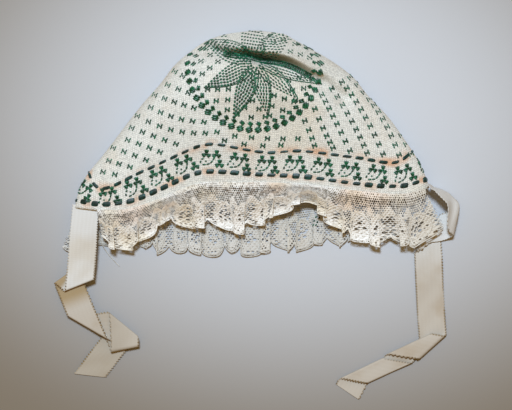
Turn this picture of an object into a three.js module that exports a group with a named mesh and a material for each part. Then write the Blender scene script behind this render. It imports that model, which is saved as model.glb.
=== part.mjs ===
// A baby's knitted cap with a lace frill and two ribbon ties, lying flattened on a table.
// Millimetres. +X runs across the cap, +Y from the open edge to the crown, +Z up from the table.
// The origin is on the table, under the middle of everything that lies on it.
import * as THREE from "three";

// Driving sizes of the knitted cap.
const CAP_WIDTH = 187; // across the two jaw corners
const CAP_LENGTH = 85; // from the crown fold to the open edge
const CROWN_RISE = 29; // how high the upper side stands above its side folds
const FOLD_HEIGHT = 5; // height of the side folds above the table
const KNIT_WALL = 1.6;
const EDGE_LIFT = 1.4; // the open edge of the under side hangs this far clear of the table
const LIFT_START = 0.55; // where that lift begins and ends, as shares of the length
const LIFT_END = 0.78;
const FLAT_SHARE = 0.75; // share of the section's half turn that curls up at each side fold
const HEEL_SHARE = 0.1; // share of the length over which the crown fold rolls under
const SECTION_POWER = 0.75; // 1 is an ellipse, less is a blunter side fold

// Ribbon drawn through the border in two rounds.
const THREAD_WIDTH = 2.2;
const THREAD_WALL = 0.8;
const CLEARANCE = 0.3; // kept between pieces that are sewn together

// Lace frill.
const LACE_DEPTH = 27;
const LACE_WALL = 1;
const SCALLOP_DEPTH = 3;
const COLUMNS_PER_SCALLOP = 6;
const LACE_ROWS = 4;

// Ribbon ties.
const TIE_WIDTH = 14.2;
const TIE_WALL = 1;
const TIE_FOLD_RADIUS = 0.7;
const TIE_REST = 0.05; // the lowest run lies this far above the table

const SECTIONS_ALONG = 20;
const SECTIONS_AROUND = 40;
const SECTION_CROWDING = 1.7; // crowds the sections towards the crown fold

// Outline and height of the cap. along: share of the way from crown fold to open edge.
// left, right: reach from the crown's middle as shares of CAP_WIDTH. rise: share of CROWN_RISE.
const OUTLINE = [
  { along: 0, left: 0, right: 0, rise: 0 },
  { along: 0.02, left: 0.076, right: 0.073, rise: 0.2 },
  { along: 0.06, left: 0.137, right: 0.109, rise: 0.4 },
  { along: 0.12, left: 0.182, right: 0.156, rise: 0.64 },
  { along: 0.2, left: 0.228, right: 0.216, rise: 0.88 },
  { along: 0.3, left: 0.266, right: 0.274, rise: 1 },
  { along: 0.42, left: 0.319, right: 0.318, rise: 0.98 },
  { along: 0.55, left: 0.37, right: 0.373, rise: 0.86 },
  { along: 0.7, left: 0.427, right: 0.421, rise: 0.69 },
  { along: 0.85, left: 0.485, right: 0.463, rise: 0.53 },
  { along: 1, left: 0.51, right: 0.49, rise: 0.42 },
];

// Length of each side as shares of CAP_LENGTH. across: -1 at the left fold, 1 at the right.
const OPEN_EDGE = [
  { across: -1, nape: 1.1, brow: 1.1 },
  { across: -0.72, nape: 1.12, brow: 1.085 },
  { across: -0.52, nape: 1.055, brow: 1.07 },
  { across: -0.3, nape: 0.96, brow: 1.06 },
  { across: -0.1, nape: 0.95, brow: 1.05 },
  { across: 0.28, nape: 0.963, brow: 1.045 },
  { across: 0.6, nape: 1.005, brow: 1.035 },
  { across: 0.85, nape: 1.02, brow: 1.02 },
  { across: 1, nape: 0.975, brow: 0.975 },
];

// Dents in the upper side, each a trough from one end to the other; a ridge has a negative depth.
// Ends as shares of CAP_WIDTH from the middle and of CAP_LENGTH from the crown fold; width as a
// share of CAP_WIDTH, depth as a share of CROWN_RISE.
const DENTS = [
  { fromX: -0.158, fromY: 0.115, toX: 0.03, toY: 0.2, width: 0.03, depth: 0.17 },
  { fromX: 0.03, fromY: 0.2, toX: 0.243, toY: 0.425, width: 0.03, depth: 0.17 },
  { fromX: 0.028, fromY: 0.62, toX: 0.028, toY: 1.0, width: 0.05, depth: 0.09 },
  { fromX: -0.246, fromY: 0.74, toX: -0.295, toY: 1.05, width: 0.05, depth: 0.07 },
  { fromX: -0.133, fromY: 0.66, toX: -0.133, toY: 0.96, width: 0.035, depth: -0.05 },
  { fromX: 0.277, fromY: 0.5, toX: 0.406, toY: 0.97, width: 0.05, depth: 0.07 },
];

// Where the two threaded ribbons run, as shares of the way from crown fold to open edge.
const THREADING = [
  { across: -1, napeUpper: 0.8, napeLower: 0.958, browUpper: 0.8, browLower: 0.958 },
  { across: -0.87, napeUpper: 0.88, napeLower: 0.965, browUpper: 0.815, browLower: 0.95 },
  { across: -0.67, napeUpper: 0.79, napeLower: 0.948, browUpper: 0.82, browLower: 0.945 },
  { across: -0.32, napeUpper: 0.745, napeLower: 0.922, browUpper: 0.82, browLower: 0.945 },
  { across: 0.08, napeUpper: 0.8, napeLower: 0.942, browUpper: 0.82, browLower: 0.945 },
  { across: 0.28, napeUpper: 0.782, napeLower: 0.942, browUpper: 0.82, browLower: 0.945 },
  { across: 0.65, napeUpper: 0.787, napeLower: 0.948, browUpper: 0.82, browLower: 0.945 },
  { across: 0.87, napeUpper: 0.806, napeLower: 0.946, browUpper: 0.815, browLower: 0.945 },
  { across: 1, napeUpper: 0.769, napeLower: 0.947, browUpper: 0.769, browLower: 0.947 },
];

// The frill on each side of the opening. reach: share of LACE_DEPTH. height: of the scalloped
// edge above the table, in millimetres, as it lies. drift: sideways shift of that edge.
const NAPE_FRILL = {
  name: "nape_lace_frill",
  up: 1,
  scallops: 16,
  ruffles: 11,
  ruffleHeight: 2.6,
  ruffleSway: 2.4,
  rows: [
    { across: -0.865, reach: 0.55, height: 8.4, drift: 1 },
    { across: -0.74, reach: 0.82, height: 8.4, drift: 1 },
    { across: -0.64, reach: 0.7, height: 8.4, drift: 0 },
    { across: -0.5, reach: 0.5, height: 9.2, drift: 0 },
    { across: -0.34, reach: 0.78, height: 8.6, drift: 0 },
    { across: -0.16, reach: 0.92, height: 8.6, drift: 0 },
    { across: 0, reach: 0.92, height: 8.8, drift: 0 },
    { across: 0.12, reach: 0.66, height: 9.6, drift: -1 },
    { across: 0.26, reach: 0.4, height: 11, drift: -1 },
    { across: 0.4, reach: 0.5, height: 10.2, drift: 0 },
    { across: 0.52, reach: 0.9, height: 8.6, drift: 0 },
    { across: 0.72, reach: 1.0, height: 8.4, drift: 2 },
    { across: 0.95, reach: 1.02, height: 8.4, drift: 3 },
  ],
};
const BROW_FRILL = {
  name: "brow_lace_frill",
  up: -1,
  scallops: 17,
  ruffles: 10,
  ruffleHeight: 1.3,
  ruffleSway: 1.6,
  rows: [
    { across: -0.97, reach: 0.88, height: 0.75, drift: -8 },
    { across: -0.8, reach: 0.78, height: 0.75, drift: -2 },
    { across: -0.6, reach: 0.92, height: 0.75, drift: 0 },
    { across: -0.3, reach: 1.04, height: 0.75, drift: 0 },
    { across: 0, reach: 1.07, height: 0.75, drift: 0 },
    { across: 0.3, reach: 0.98, height: 0.75, drift: 0 },
    { across: 0.55, reach: 0.88, height: 0.75, drift: 0 },
    { across: 0.84, reach: 0.84, height: 0.75, drift: 0 },
  ],
};

// Each tie is a flat ribbon folded over itself. across, offX, offY: where it is sewn to the open
// edge, and how far clear of it. start: height there; tilt: its slant across the width, which
// eases off over that share of the first run. cut: slant of the cut end. run: length to the next
// fold. heading: degrees
// anticlockwise from +X. turn: 1 where the next run lies on top, -1 where it goes underneath.
// fall: how far the run sinks along its length.
const LEFT_TIE = {
  name: "left_tie",
  across: -0.9,
  offX: -3.8,
  offY: -1.9,
  start: 10.2,
  tilt: 14,
  easing: 0.9,
  cut: -0.6,
  rows: [
    { run: 38.5, heading: -95.5, turn: -1, fall: 0 },
    { run: 9.5, heading: 139, turn: -1, fall: 0 },
    { run: 31, heading: -68, turn: -1, fall: 0 },
    { run: 19, heading: 8, turn: 1, fall: 0 },
    { run: 14.5, heading: -87, turn: -2, fall: 0 },
    { run: 8, heading: 110, turn: -1, fall: 0 },
    { run: 26.5, heading: -128, turn: 0, fall: 0 },
  ],
};
const RIGHT_TIE = {
  name: "right_tie",
  across: 0.985,
  offX: 1.3,
  offY: -0.9,
  start: 8,
  tilt: 58,
  easing: 0.75,
  cut: 0.1,
  rows: [
    { run: 23.8, heading: -45, turn: -1, fall: 0 },
    { run: 18, heading: -160, turn: -1, fall: 0 },
    { run: 60.5, heading: -86.5, turn: 2, fall: 0 },
    { run: 13.8, heading: 170.5, turn: -1, fall: 0 },
    { run: 18.3, heading: -120.5, turn: 1, fall: 1.4 },
    { run: 15.9, heading: 169.5, turn: -1, fall: 0 },
    { run: 14.8, heading: -118.5, turn: 0, fall: 0 },
  ],
};

const { PI, abs, cos, sin, min, max, hypot, exp } = Math;
const clamp = THREE.MathUtils.clamp;
const radians = THREE.MathUtils.degToRad;
const smoothstep = THREE.MathUtils.smoothstep;
const lerp = THREE.MathUtils.lerp;

// Reads a column of a table along a smooth curve. The rows are sorted by the column named by.
function read(rows, by, column, at) {
  const last = rows.length - 1;
  const found = rows.findIndex((row) => row[by] > at);
  const i = clamp(found < 0 ? last - 1 : found - 1, 0, last - 1);
  const [from, to] = [rows[i], rows[i + 1]];
  const span = to[by] - from[by];
  const t = clamp((at - from[by]) / span, 0, 1);
  const slope = (k) => {
    const [before, after] = [rows[max(k - 1, 0)], rows[min(k + 1, last)]];
    return ((after[column] - before[column]) / (after[by] - before[by])) * span;
  };
  const [t2, t3] = [t * t, t * t * t];
  return (
    (2 * t3 - 3 * t2 + 1) * from[column] +
    (t3 - 2 * t2 + t) * slope(i) +
    (3 * t2 - 2 * t3) * to[column] +
    (t3 - t2) * slope(i + 1)
  );
}

// Depth of all the dents at a place on the upper side.
function dentDepth(x, y) {
  let depth = 0;
  for (const dent of DENTS) {
    const from = new THREE.Vector2(dent.fromX * CAP_WIDTH, -dent.fromY * CAP_LENGTH);
    const along = new THREE.Vector2(dent.toX * CAP_WIDTH, -dent.toY * CAP_LENGTH).sub(from);
    const place = new THREE.Vector2(x, y).sub(from);
    const share = clamp(place.dot(along) / along.lengthSq(), 0, 1);
    const distance = place.sub(along.multiplyScalar(share)).length();
    depth += dent.depth * CROWN_RISE * exp(-((distance / (dent.width * CAP_WIDTH)) ** 2));
  }
  return depth;
}

// A thickness taken off a half size, less of it where the half size is nearly nothing.
const thinned = (size, inset) => size - inset * min(1, size / (2 * abs(inset) + 1e-9));

// A point of the cap. along: 0 at the crown fold, 1 at the open edge. angle: 0 at the right
// fold, PI / 2 on top, PI at the left fold. inset: depth below the outer face.
function capPoint(along, angle, inset = 0) {
  const across = cos(angle);
  const up = sin(angle);
  const left = CAP_WIDTH * read(OUTLINE, "along", "left", along);
  const right = CAP_WIDTH * read(OUTLINE, "along", "right", along);
  const rise = thinned(CROWN_RISE * read(OUTLINE, "along", "rise", along), inset);
  const half = thinned((left + right) / 2, inset);
  const x = (right - left) / 2 + half * across;
  const length = CAP_LENGTH * read(OPEN_EDGE, "across", up > 0 ? "nape" : "brow", across);
  const y = -along * length - inset * (1 - along) ** 2;
  const heel = sin((min(1, along / HEEL_SHARE) * PI) / 2);
  const under = thinned(FOLD_HEIGHT * heel, inset);
  const lift = EDGE_LIFT * smoothstep(along, LIFT_START, LIFT_END);
  const curl = sin((min(1, abs(up) / FLAT_SHARE) * PI) / 2);
  const z =
    up > 0
      ? rise * up ** SECTION_POWER - dentDepth(x, y) * min(1, 2 * up) * min(1, rise / CROWN_RISE)
      : -under * curl;
  return new THREE.Vector3(x, y, FOLD_HEIGHT + lift + z);
}

// A closed mesh from a list of points and of faces that turn anticlockwise seen from outside.
function solid(name, material, points, faces) {
  const geometry = new THREE.BufferGeometry();
  geometry.setAttribute(
    "position",
    new THREE.Float32BufferAttribute(points.flatMap((p) => p.toArray()), 3),
  );
  geometry.setIndex(faces.flat());
  geometry.computeVertexNormals();
  const mesh = new THREE.Mesh(geometry, material);
  mesh.name = name;
  return mesh;
}

// Two triangles for the four corners a, b, c, d.
const quad = (a, b, c, d) => [[a, b, c], [a, c, d]];

// The angle of section line i round the cap.
const sectionAngle = (i) => (2 * PI * i) / SECTIONS_AROUND;

// The hollow knitted cap: outer and inner faces that meet round the open edge.
function knittedCap(material) {
  const points = [];
  const faces = [];
  const skins = [0, KNIT_WALL].map((inset) => {
    const pole = points.push(capPoint(0, 0, inset)) - 1;
    const rings = [];
    for (let k = 1; k <= SECTIONS_ALONG; k++) {
      const along = (k / SECTIONS_ALONG) ** SECTION_CROWDING;
      const ring = [];
      for (let i = 0; i < SECTIONS_AROUND; i++) {
        ring.push(points.push(capPoint(along, sectionAngle(i), inset)) - 1);
      }
      rings.push(ring);
    }
    return { pole, rings };
  });
  const [outer, inner] = skins;
  for (let i = 0; i < SECTIONS_AROUND; i++) {
    const j = (i + 1) % SECTIONS_AROUND;
    faces.push([outer.pole, outer.rings[0][j], outer.rings[0][i]]);
    faces.push([inner.pole, inner.rings[0][i], inner.rings[0][j]]);
    for (let k = 1; k < SECTIONS_ALONG; k++) {
      const [a, b] = [outer.rings[k - 1], outer.rings[k]];
      const [c, d] = [inner.rings[k - 1], inner.rings[k]];
      faces.push(...quad(a[j], b[j], b[i], a[i]));
      faces.push(...quad(c[i], d[i], d[j], c[j]));
    }
    const [rim, lip] = [outer.rings.at(-1), inner.rings.at(-1)];
    faces.push(...quad(rim[j], lip[j], lip[i], rim[i]));
  }
  return solid("knitted_cap", material, points, faces);
}

// A ribbon that runs right round the cap, just outside the knitting, in a band of the border.
function threadedRibbon(name, napeColumn, browColumn, material) {
  const points = [];
  const faces = [];
  const half = THREAD_WIDTH / 2 / CAP_LENGTH;
  const corners = [
    [-half, -CLEARANCE],
    [half, -CLEARANCE],
    [half, -CLEARANCE - THREAD_WALL],
    [-half, -CLEARANCE - THREAD_WALL],
  ];
  for (let i = 0; i < SECTIONS_AROUND; i++) {
    const angle = sectionAngle(i);
    const column = sin(angle) > 0 ? napeColumn : browColumn;
    const along = read(THREADING, "across", column, cos(angle));
    for (const [shift, inset] of corners) points.push(capPoint(along + shift, angle, inset));
  }
  for (let i = 0; i < SECTIONS_AROUND; i++) {
    const [here, next] = [4 * i, 4 * ((i + 1) % SECTIONS_AROUND)];
    for (let c = 0; c < 4; c++) {
      const d = (c + 1) % 4;
      faces.push(...quad(here + d, next + d, next + c, here + c));
    }
  }
  return solid(name, material, points, faces);
}

// A sheet with a real thickness about the surface pointAt(column, row), closed at its edges.
function sheet(name, material, pointAt, columns, rows, wall) {
  const points = [];
  const faces = [];
  const index = (side, c, r) => (side * (columns + 1) + c) * (rows + 1) + r;
  const step = 0.02;
  const normalAt = (c, r) => {
    const [c0, c1] = [max(0, c - step), min(columns, c + step)];
    const [r0, r1] = [max(0, r - step), min(rows, r + step)];
    const along = pointAt(c1, r).sub(pointAt(c0, r));
    return along.cross(pointAt(c, r1).sub(pointAt(c, r0))).normalize();
  };
  for (const side of [1, -1]) {
    for (let c = 0; c <= columns; c++) {
      for (let r = 0; r <= rows; r++) {
        points.push(pointAt(c, r).addScaledVector(normalAt(c, r), (side * wall) / 2));
      }
    }
  }
  for (let c = 0; c < columns; c++) {
    for (let r = 0; r < rows; r++) {
      const corners = [[c, r], [c + 1, r], [c + 1, r + 1], [c, r + 1]];
      faces.push(...quad(...corners.map(([a, b]) => index(0, a, b))));
      faces.push(...quad(...corners.reverse().map(([a, b]) => index(1, a, b))));
    }
    faces.push(...quad(index(1, c, 0), index(1, c + 1, 0), index(0, c + 1, 0), index(0, c, 0)));
    faces.push(
      ...quad(index(0, c, rows), index(0, c + 1, rows), index(1, c + 1, rows), index(1, c, rows)),
    );
  }
  for (let r = 0; r < rows; r++) {
    faces.push(...quad(index(0, 0, r), index(0, 0, r + 1), index(1, 0, r + 1), index(1, 0, r)));
    const c = columns;
    faces.push(...quad(index(1, c, r), index(1, c, r + 1), index(0, c, r + 1), index(0, c, r)));
  }
  return solid(name, material, points, faces);
}

// A point of a frill. share: 0 to 1 along the strip of lace. depth: 0 at the heading, 1 at the
// scalloped edge.
function frillPoint(frill, share, depth) {
  const rows = frill.rows;
  const across = lerp(rows[0].across, rows.at(-1).across, share);
  const head = capPoint(1, frill.up * Math.acos(across), KNIT_WALL / 2);
  const reach = LACE_DEPTH * read(rows, "across", "reach", across);
  const height = read(rows, "across", "height", across);
  const drift = read(rows, "across", "drift", across);
  const phase = 2 * PI * (frill.ruffles * share + 0.3 * sin(9 * share));
  const lobe = (frill.scallops * share) % 1;
  const notch = SCALLOP_DEPTH * (1 - (1 - (2 * lobe - 1) ** 2) ** 0.5);
  const wave = smoothstep(depth, 0, 1);
  return new THREE.Vector3(
    head.x + drift * depth + frill.ruffleSway * wave * sin(phase),
    head.y - CLEARANCE - LACE_WALL / 2 - (reach - notch * depth ** 2) * depth,
    lerp(head.z, height, wave) + (frill.ruffleHeight * wave * (1 - cos(phase))) / 2,
  );
}

function laceFrill(frill, material) {
  const columns = frill.scallops * COLUMNS_PER_SCALLOP;
  const pointAt = (c, r) => frillPoint(frill, 1 - c / columns, r / LACE_ROWS);
  return sheet(frill.name, material, pointAt, columns, LACE_ROWS, LACE_WALL);
}

// The runs of a tie in the plane of the table, with the fold line that ends each one.
function tieRuns(tie) {
  const head = capPoint(1, Math.acos(tie.across), KNIT_WALL / 2);
  let place = new THREE.Vector2(head.x + tie.offX, head.y + tie.offY);
  let [length, side] = [0, 1];
  let level = TIE_REST + TIE_WALL / 2 + 2 * TIE_FOLD_RADIUS * tieDepth(tie);
  return tie.rows.map((row, k) => {
    const heading = new THREE.Vector2(cos(radians(row.heading)), sin(radians(row.heading)));
    const run = { ...row, from: place, begin: length, side, level, heading };
    length += row.run;
    place = place.clone().addScaledVector(heading, row.run);
    const next = tie.rows[k + 1] ?? { heading: row.heading + 180 };
    const line = radians((row.heading + next.heading) / 2);
    run.fold = new THREE.Vector2(cos(line), sin(line));
    run.normal = new THREE.Vector2(-sin(line), cos(line));
    if (run.normal.dot(heading) < 0) run.normal.negate();
    run.end = length;
    run.to = place;
    const left = new THREE.Vector2(-heading.y, heading.x).multiplyScalar(side);
    run.left = left;
    run.shear = run.fold.dot(heading) / run.fold.dot(left);
    level += 2 * TIE_FOLD_RADIUS * row.turn - row.fall;
    side = -side;
    return run;
  });
}

// How many layers deep the start of a tie lies above its lowest run.
function tieDepth(tie) {
  let [level, lowest] = [0, 0];
  for (const row of tie.rows) {
    level += row.turn - row.fall / (2 * TIE_FOLD_RADIUS);
    lowest = min(lowest, level);
  }
  return -lowest;
}

// A point of a tie: s along the ribbon, w across it. Round each fold it rolls over a cylinder.
function tiePoint(tie, runs, s, w) {
  let k = 0;
  while (k < runs.length - 1 && s - runs[k].end - w * runs[k].shear > 0) k++;
  const before = runs[k];
  let at = placeOnRun(before, s, w);
  if (k > 0) {
    const previous = runs[k - 1];
    const ahead = placeOnRun(previous, s, w);
    if (ahead.past < (PI / 2) * TIE_FOLD_RADIUS * abs(previous.turn)) at = ahead;
  }
  const lift = tie.start - runs[0].level;
  const first = tie.easing * runs[0].run;
  const fade = 1 - smoothstep(s, 0, first);
  const tilt = radians(tie.tilt) * fade;
  const bank = w * (1 - cos(tilt));
  return new THREE.Vector3(
    at.plan.x - runs[0].left.x * bank,
    at.plan.y - runs[0].left.y * bank,
    at.z + lift * fade + w * sin(tilt),
  );
}

// Where a point of the ribbon lies if it is on this run or rolling over the fold at its end.
function placeOnRun(run, s, w) {
  const plan = run.from.clone().addScaledVector(run.heading, s - run.begin);
  plan.addScaledVector(run.left, w);
  const sunk = (run.fall * clamp(s - run.begin, 0, run.run)) / run.run;
  const radius = TIE_FOLD_RADIUS * abs(run.turn);
  const past = run.turn ? plan.clone().sub(run.to).dot(run.normal) : -1e9;
  const arc = (PI / 2) * radius;
  if (past <= -arc) return { plan, z: run.level - sunk, past };
  const turned = min(PI, (past + arc) / radius);
  const out = -arc + radius * sin(turned) - max(0, past - arc);
  plan.addScaledVector(run.normal, out - past);
  return { plan, z: run.level - sunk + Math.sign(run.turn) * radius * (1 - cos(turned)), past };
}

// The stations along a tie where its mesh has a line across: round each fold and between.
function tieStations(tie, runs) {
  const stations = [{ s: 0, shear: 0 }];
  const steps = 6;
  runs.forEach((run, k) => {
    const last = k === runs.length - 1;
    const shear = last ? tie.cut : run.shear;
    const reach = last ? 0 : (PI / 2) * TIE_FOLD_RADIUS * abs(run.turn);
    const slant = reach / abs(run.normal.dot(run.heading));
    const from = stations.at(-1);
    const to = run.end - slant;
    for (let i = 1; i <= steps; i++) {
      const share = i / steps;
      stations.push({ s: lerp(from.s, to, share), shear: lerp(from.shear, shear, share) });
    }
    if (last) return;
    for (const share of [-0.5, 0, 0.5, 1]) stations.push({ s: run.end + share * slant, shear });
  });
  return stations;
}

function ribbonTie(tie, material) {
  const runs = tieRuns(tie);
  const stations = tieStations(tie, runs);
  const strips = 2;
  const pointAt = (c, r) => {
    const i = min(Math.floor(c), stations.length - 2);
    const share = c - i;
    const w = TIE_WIDTH * (r / strips - 0.5);
    const s = lerp(stations[i].s, stations[i + 1].s, share);
    const shear = lerp(stations[i].shear, stations[i + 1].shear, share);
    return tiePoint(tie, runs, s + shear * w, w);
  };
  return sheet(tie.name, material, pointAt, stations.length - 1, strips, TIE_WALL);
}

const knit = new THREE.MeshStandardMaterial({ color: 0xe6dfce, roughness: 0.95, metalness: 0 });
const thread = new THREE.MeshStandardMaterial({ color: 0x123b35, roughness: 0.45, metalness: 0 });
const lace = new THREE.MeshStandardMaterial({ color: 0xd9cdb4, roughness: 0.95, metalness: 0 });
const ribbon = new THREE.MeshStandardMaterial({ color: 0xddd3c0, roughness: 0.6, metalness: 0 });

const cap = new THREE.Group();
cap.add(
  knittedCap(knit),
  threadedRibbon("upper_threaded_ribbon", "napeUpper", "browUpper", thread),
  threadedRibbon("lower_threaded_ribbon", "napeLower", "browLower", thread),
  laceFrill(NAPE_FRILL, lace),
  laceFrill(BROW_FRILL, lace),
  ribbonTie(LEFT_TIE, ribbon),
  ribbonTie(RIGHT_TIE, ribbon),
);

// The origin goes under the middle of the whole, on the table.
const extent = new THREE.Box3().setFromObject(cap);
const centre = extent.getCenter(new THREE.Vector3());
cap.position.set(-centre.x, -centre.y, -extent.min.z);

export default cap;
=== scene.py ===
# %% [markdown]
# # A baby's knitted cap with a lace frill and ribbon ties
#
# The cap lies flattened on a pale table and is seen from straight above. Its solids come from the
# packed CAD model. This notebook dresses them: knitting, dark green motifs, lace mesh and ribbon.

# %% Start from the packed solids
import math

import bpy
import numpy as np
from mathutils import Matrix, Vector
from mathutils.bvhtree import BVHTree


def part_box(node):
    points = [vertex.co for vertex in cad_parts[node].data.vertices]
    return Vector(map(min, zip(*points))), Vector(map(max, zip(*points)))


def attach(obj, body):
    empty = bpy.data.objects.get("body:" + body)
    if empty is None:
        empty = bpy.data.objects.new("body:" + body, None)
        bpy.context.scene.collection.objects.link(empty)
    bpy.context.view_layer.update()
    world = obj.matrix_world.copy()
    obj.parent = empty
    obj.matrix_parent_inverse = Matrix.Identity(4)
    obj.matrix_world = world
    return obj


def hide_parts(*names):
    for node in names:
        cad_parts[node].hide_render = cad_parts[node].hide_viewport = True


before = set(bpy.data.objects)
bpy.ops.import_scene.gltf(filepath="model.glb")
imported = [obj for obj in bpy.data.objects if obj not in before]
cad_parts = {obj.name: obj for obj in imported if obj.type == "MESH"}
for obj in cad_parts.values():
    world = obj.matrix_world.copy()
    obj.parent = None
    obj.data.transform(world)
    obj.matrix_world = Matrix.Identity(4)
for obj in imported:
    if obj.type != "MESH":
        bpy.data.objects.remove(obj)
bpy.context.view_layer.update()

MM = 0.001
scene = bpy.context.scene

# %% [markdown]
# ## Where things are
#
# The knitting is measured from the middle of its crown fold, as in the CAD source. That point is
# found again from the box of the knitted solid, so that everything else here can be given in plain
# millimetres across and down the cap.

# %% The middle of the crown fold
CAP_WIDTH = 187 * MM
CAP_LENGTH = 85 * MM
LEFT_SHARE = 0.51

knit_low, knit_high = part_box("knitted_cap")
CROWN = np.array([knit_low.x + LEFT_SHARE * CAP_WIDTH, knit_high.y, 0.0])
print("crown fold at", CROWN.round(4))

# %% [markdown]
# ## Camera
#
# The photograph looks straight down. A long lens high above the table keeps the outline nearly free
# of perspective, as in the picture.

# %% Camera
TABLE_SEEN = 271.4 * MM  # width of table that fills the picture
CAMERA_HEIGHT = 0.9
SENSOR_WIDTH = 36
VIEW_CENTRE = CROWN + np.array([0.3, -92.0, 0.0]) * MM

camera = bpy.data.objects.new("camera", bpy.data.cameras.new("camera"))
scene.collection.objects.link(camera)
scene.camera = camera
camera.data.sensor_width = SENSOR_WIDTH
camera.data.lens = SENSOR_WIDTH * CAMERA_HEIGHT / TABLE_SEEN
camera.location = (VIEW_CENTRE[0], VIEW_CENTRE[1], CAMERA_HEIGHT)
print("camera above", VIEW_CENTRE.round(3))

# %% [markdown]
# ## Reading a short table along a smooth curve
#
# Cloth has few straight lines. A few measured rows joined by a smooth curve give the outline, the
# height and the length of the cap everywhere in between.

# %% A smooth curve through the rows of a table


def read_table(rows, at):
    """The columns after the first, at one or many values of the first."""
    rows = np.asarray(rows, float)
    keys, values = rows[:, 0], rows[:, 1:]
    at = np.asarray(at, float)
    i = np.clip(np.searchsorted(keys, at, side="right") - 1, 0, len(keys) - 2)
    span = (keys[i + 1] - keys[i])[..., None]
    t = np.clip((at - keys[i])[..., None] / span, 0, 1)
    before = np.maximum(np.arange(len(keys)) - 1, 0)
    after = np.minimum(np.arange(len(keys)) + 1, len(keys) - 1)
    slope = (values[after] - values[before]) / (keys[after] - keys[before])[:, None]
    return (
        (2 * t**3 - 3 * t**2 + 1) * values[i]
        + (t**3 - 2 * t**2 + t) * span * slope[i]
        + (3 * t**2 - 2 * t**3) * values[i + 1]
        + (t**3 - t**2) * span * slope[i + 1]
    )


def smoothstep(x, low=0.0, high=1.0):
    """0 up to low, 1 from high on, and a soft change between them."""
    t = np.clip((np.asarray(x, float) - low) / (high - low), 0, 1)
    return t * t * (3 - 2 * t)


print("a quarter of the way up a soft step is", smoothstep(0.25))

# %% [markdown]
# ## The shape of the knitting
#
# The same few sizes as in the CAD source: how far each side reaches, how high the upper layer
# stands, and how long the nape and brow sides are. A flattened cap is neither a sphere nor flat,
# so its outline is a table from the crown to the open edge, and its edge is a second table.

# %% Sizes and outline of the knitted cap
CROWN_RISE = 29 * MM
FOLD_HEIGHT = 5 * MM
KNIT_WALL = 1.6 * MM
EDGE_LIFT = 1.4 * MM  # the open edge of the under side hangs this far clear of the table
LIFT_START, LIFT_END = 0.55, 0.78  # where that lift begins and ends, as shares of the length
FLAT_SHARE = 0.75  # share of the section's half turn that curls up at each side fold
HEEL_SHARE = 0.1  # share of the length over which the crown fold rolls under
SECTION_POWER = 0.75  # 1 is an ellipse, less is a blunter side fold

# share of the length, reach left, reach right (shares of the width), rise (share of the rise)
OUTLINE = [
    (0, 0, 0, 0),
    (0.02, 0.076, 0.073, 0.2),
    (0.06, 0.137, 0.109, 0.4),
    (0.12, 0.182, 0.156, 0.64),
    (0.2, 0.228, 0.216, 0.88),
    (0.3, 0.266, 0.274, 1),
    (0.42, 0.319, 0.318, 0.98),
    (0.55, 0.37, 0.373, 0.86),
    (0.7, 0.427, 0.421, 0.69),
    (0.85, 0.485, 0.463, 0.53),
    (1, 0.51, 0.49, 0.42),
]
# place across (-1 left fold, 1 right fold), length of the nape side and of the brow side
OPEN_EDGE = [
    (-1, 1.1, 1.1),
    (-0.72, 1.12, 1.085),
    (-0.52, 1.055, 1.07),
    (-0.3, 0.96, 1.06),
    (-0.1, 0.95, 1.05),
    (0.28, 0.963, 1.045),
    (0.6, 1.005, 1.035),
    (0.85, 1.02, 1.02),
    (1, 0.975, 0.975),
]
print("knitting:", round(CAP_WIDTH / MM), "mm wide and", round(CAP_LENGTH / MM), "mm long")

# %% [markdown]
# ## Dents, puckers and the crease
#
# Cloth that has lain folded for years is full of shallow hollows. Each is a soft trough along a
# short line. The dents are in the CAD source too, and the puckers, too fine for the solids, are
# added here. The crown is pushed in above the star and has fallen over itself in a steep crease,
# which gets a table of its own.

# %% Dents, puckers and the crease
# from x, y to x, y (shares of width and length), width (share of width), depth (share of rise)
DENTS = [
    (-0.158, 0.115, 0.03, 0.2, 0.03, 0.17),
    (0.03, 0.2, 0.243, 0.425, 0.03, 0.17),
    (0.028, 0.62, 0.028, 1.0, 0.05, 0.09),
    (-0.246, 0.74, -0.295, 1.05, 0.05, 0.07),
    (-0.133, 0.66, -0.133, 0.96, 0.035, -0.05),
    (0.277, 0.5, 0.406, 0.97, 0.05, 0.07),
]
PUCKERS = [
    (0.19, 0.33, 0.25, 0.44, 0.014, 0.05),
    (-0.21, 0.55, -0.14, 0.95, 0.018, 0.018),
    (0.12, 0.7, 0.1, 0.97, 0.02, 0.015),
    (0.21, 0.66, 0.24, 0.98, 0.02, -0.015),
    (-0.36, 0.85, -0.31, 1.1, 0.02, 0.018),
    (-0.02, 0.75, -0.03, 0.97, 0.015, -0.012),
]
# the crease above the star: x and y of its foot and the height that stands over it, in mm
CREASE = [
    (-30, -5.5, 0),
    (-24.6, -8.6, 3),
    (-15.6, -13.8, 8),
    (-4.8, -15.0, 11),
    (1.3, -16.6, 11.5),
    (13.5, -18.6, 10.5),
    (20.7, -21.2, 8),
    (27.8, -25, 5),
    (34, -27.6, 2),
    (42, -30, 0),
]
# the section of the crease, in mm
CREASE_FACE = 4.4  # how wide the steep face is
CREASE_FADE = 7.0  # how soon the cloth above it sinks back
FOOT_WIDTH = 2.2  # the small gutter at its foot
FOOT_DEPTH = 0.12  # as a share of the height
TALLEST = 11  # height at which the painted shade is darkest
SHADE_AT, SHADE_WIDTH = 1.6, 2.1  # how far up the face the painted shade lies, and how wide
print(len(DENTS), "dents,", len(PUCKERS), "puckers and one crease")

# %% [markdown]
# ## How far the cloth has sunk at a place
#
# Dents could be pushed in with a sculpting brush, but a brush stroke can't be read or changed
# later. Here each trough is a bell curve across its line, and the crease is a soft step that fades
# back into the cloth behind it.

# %% Depth of the dents and height of the crease


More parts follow.
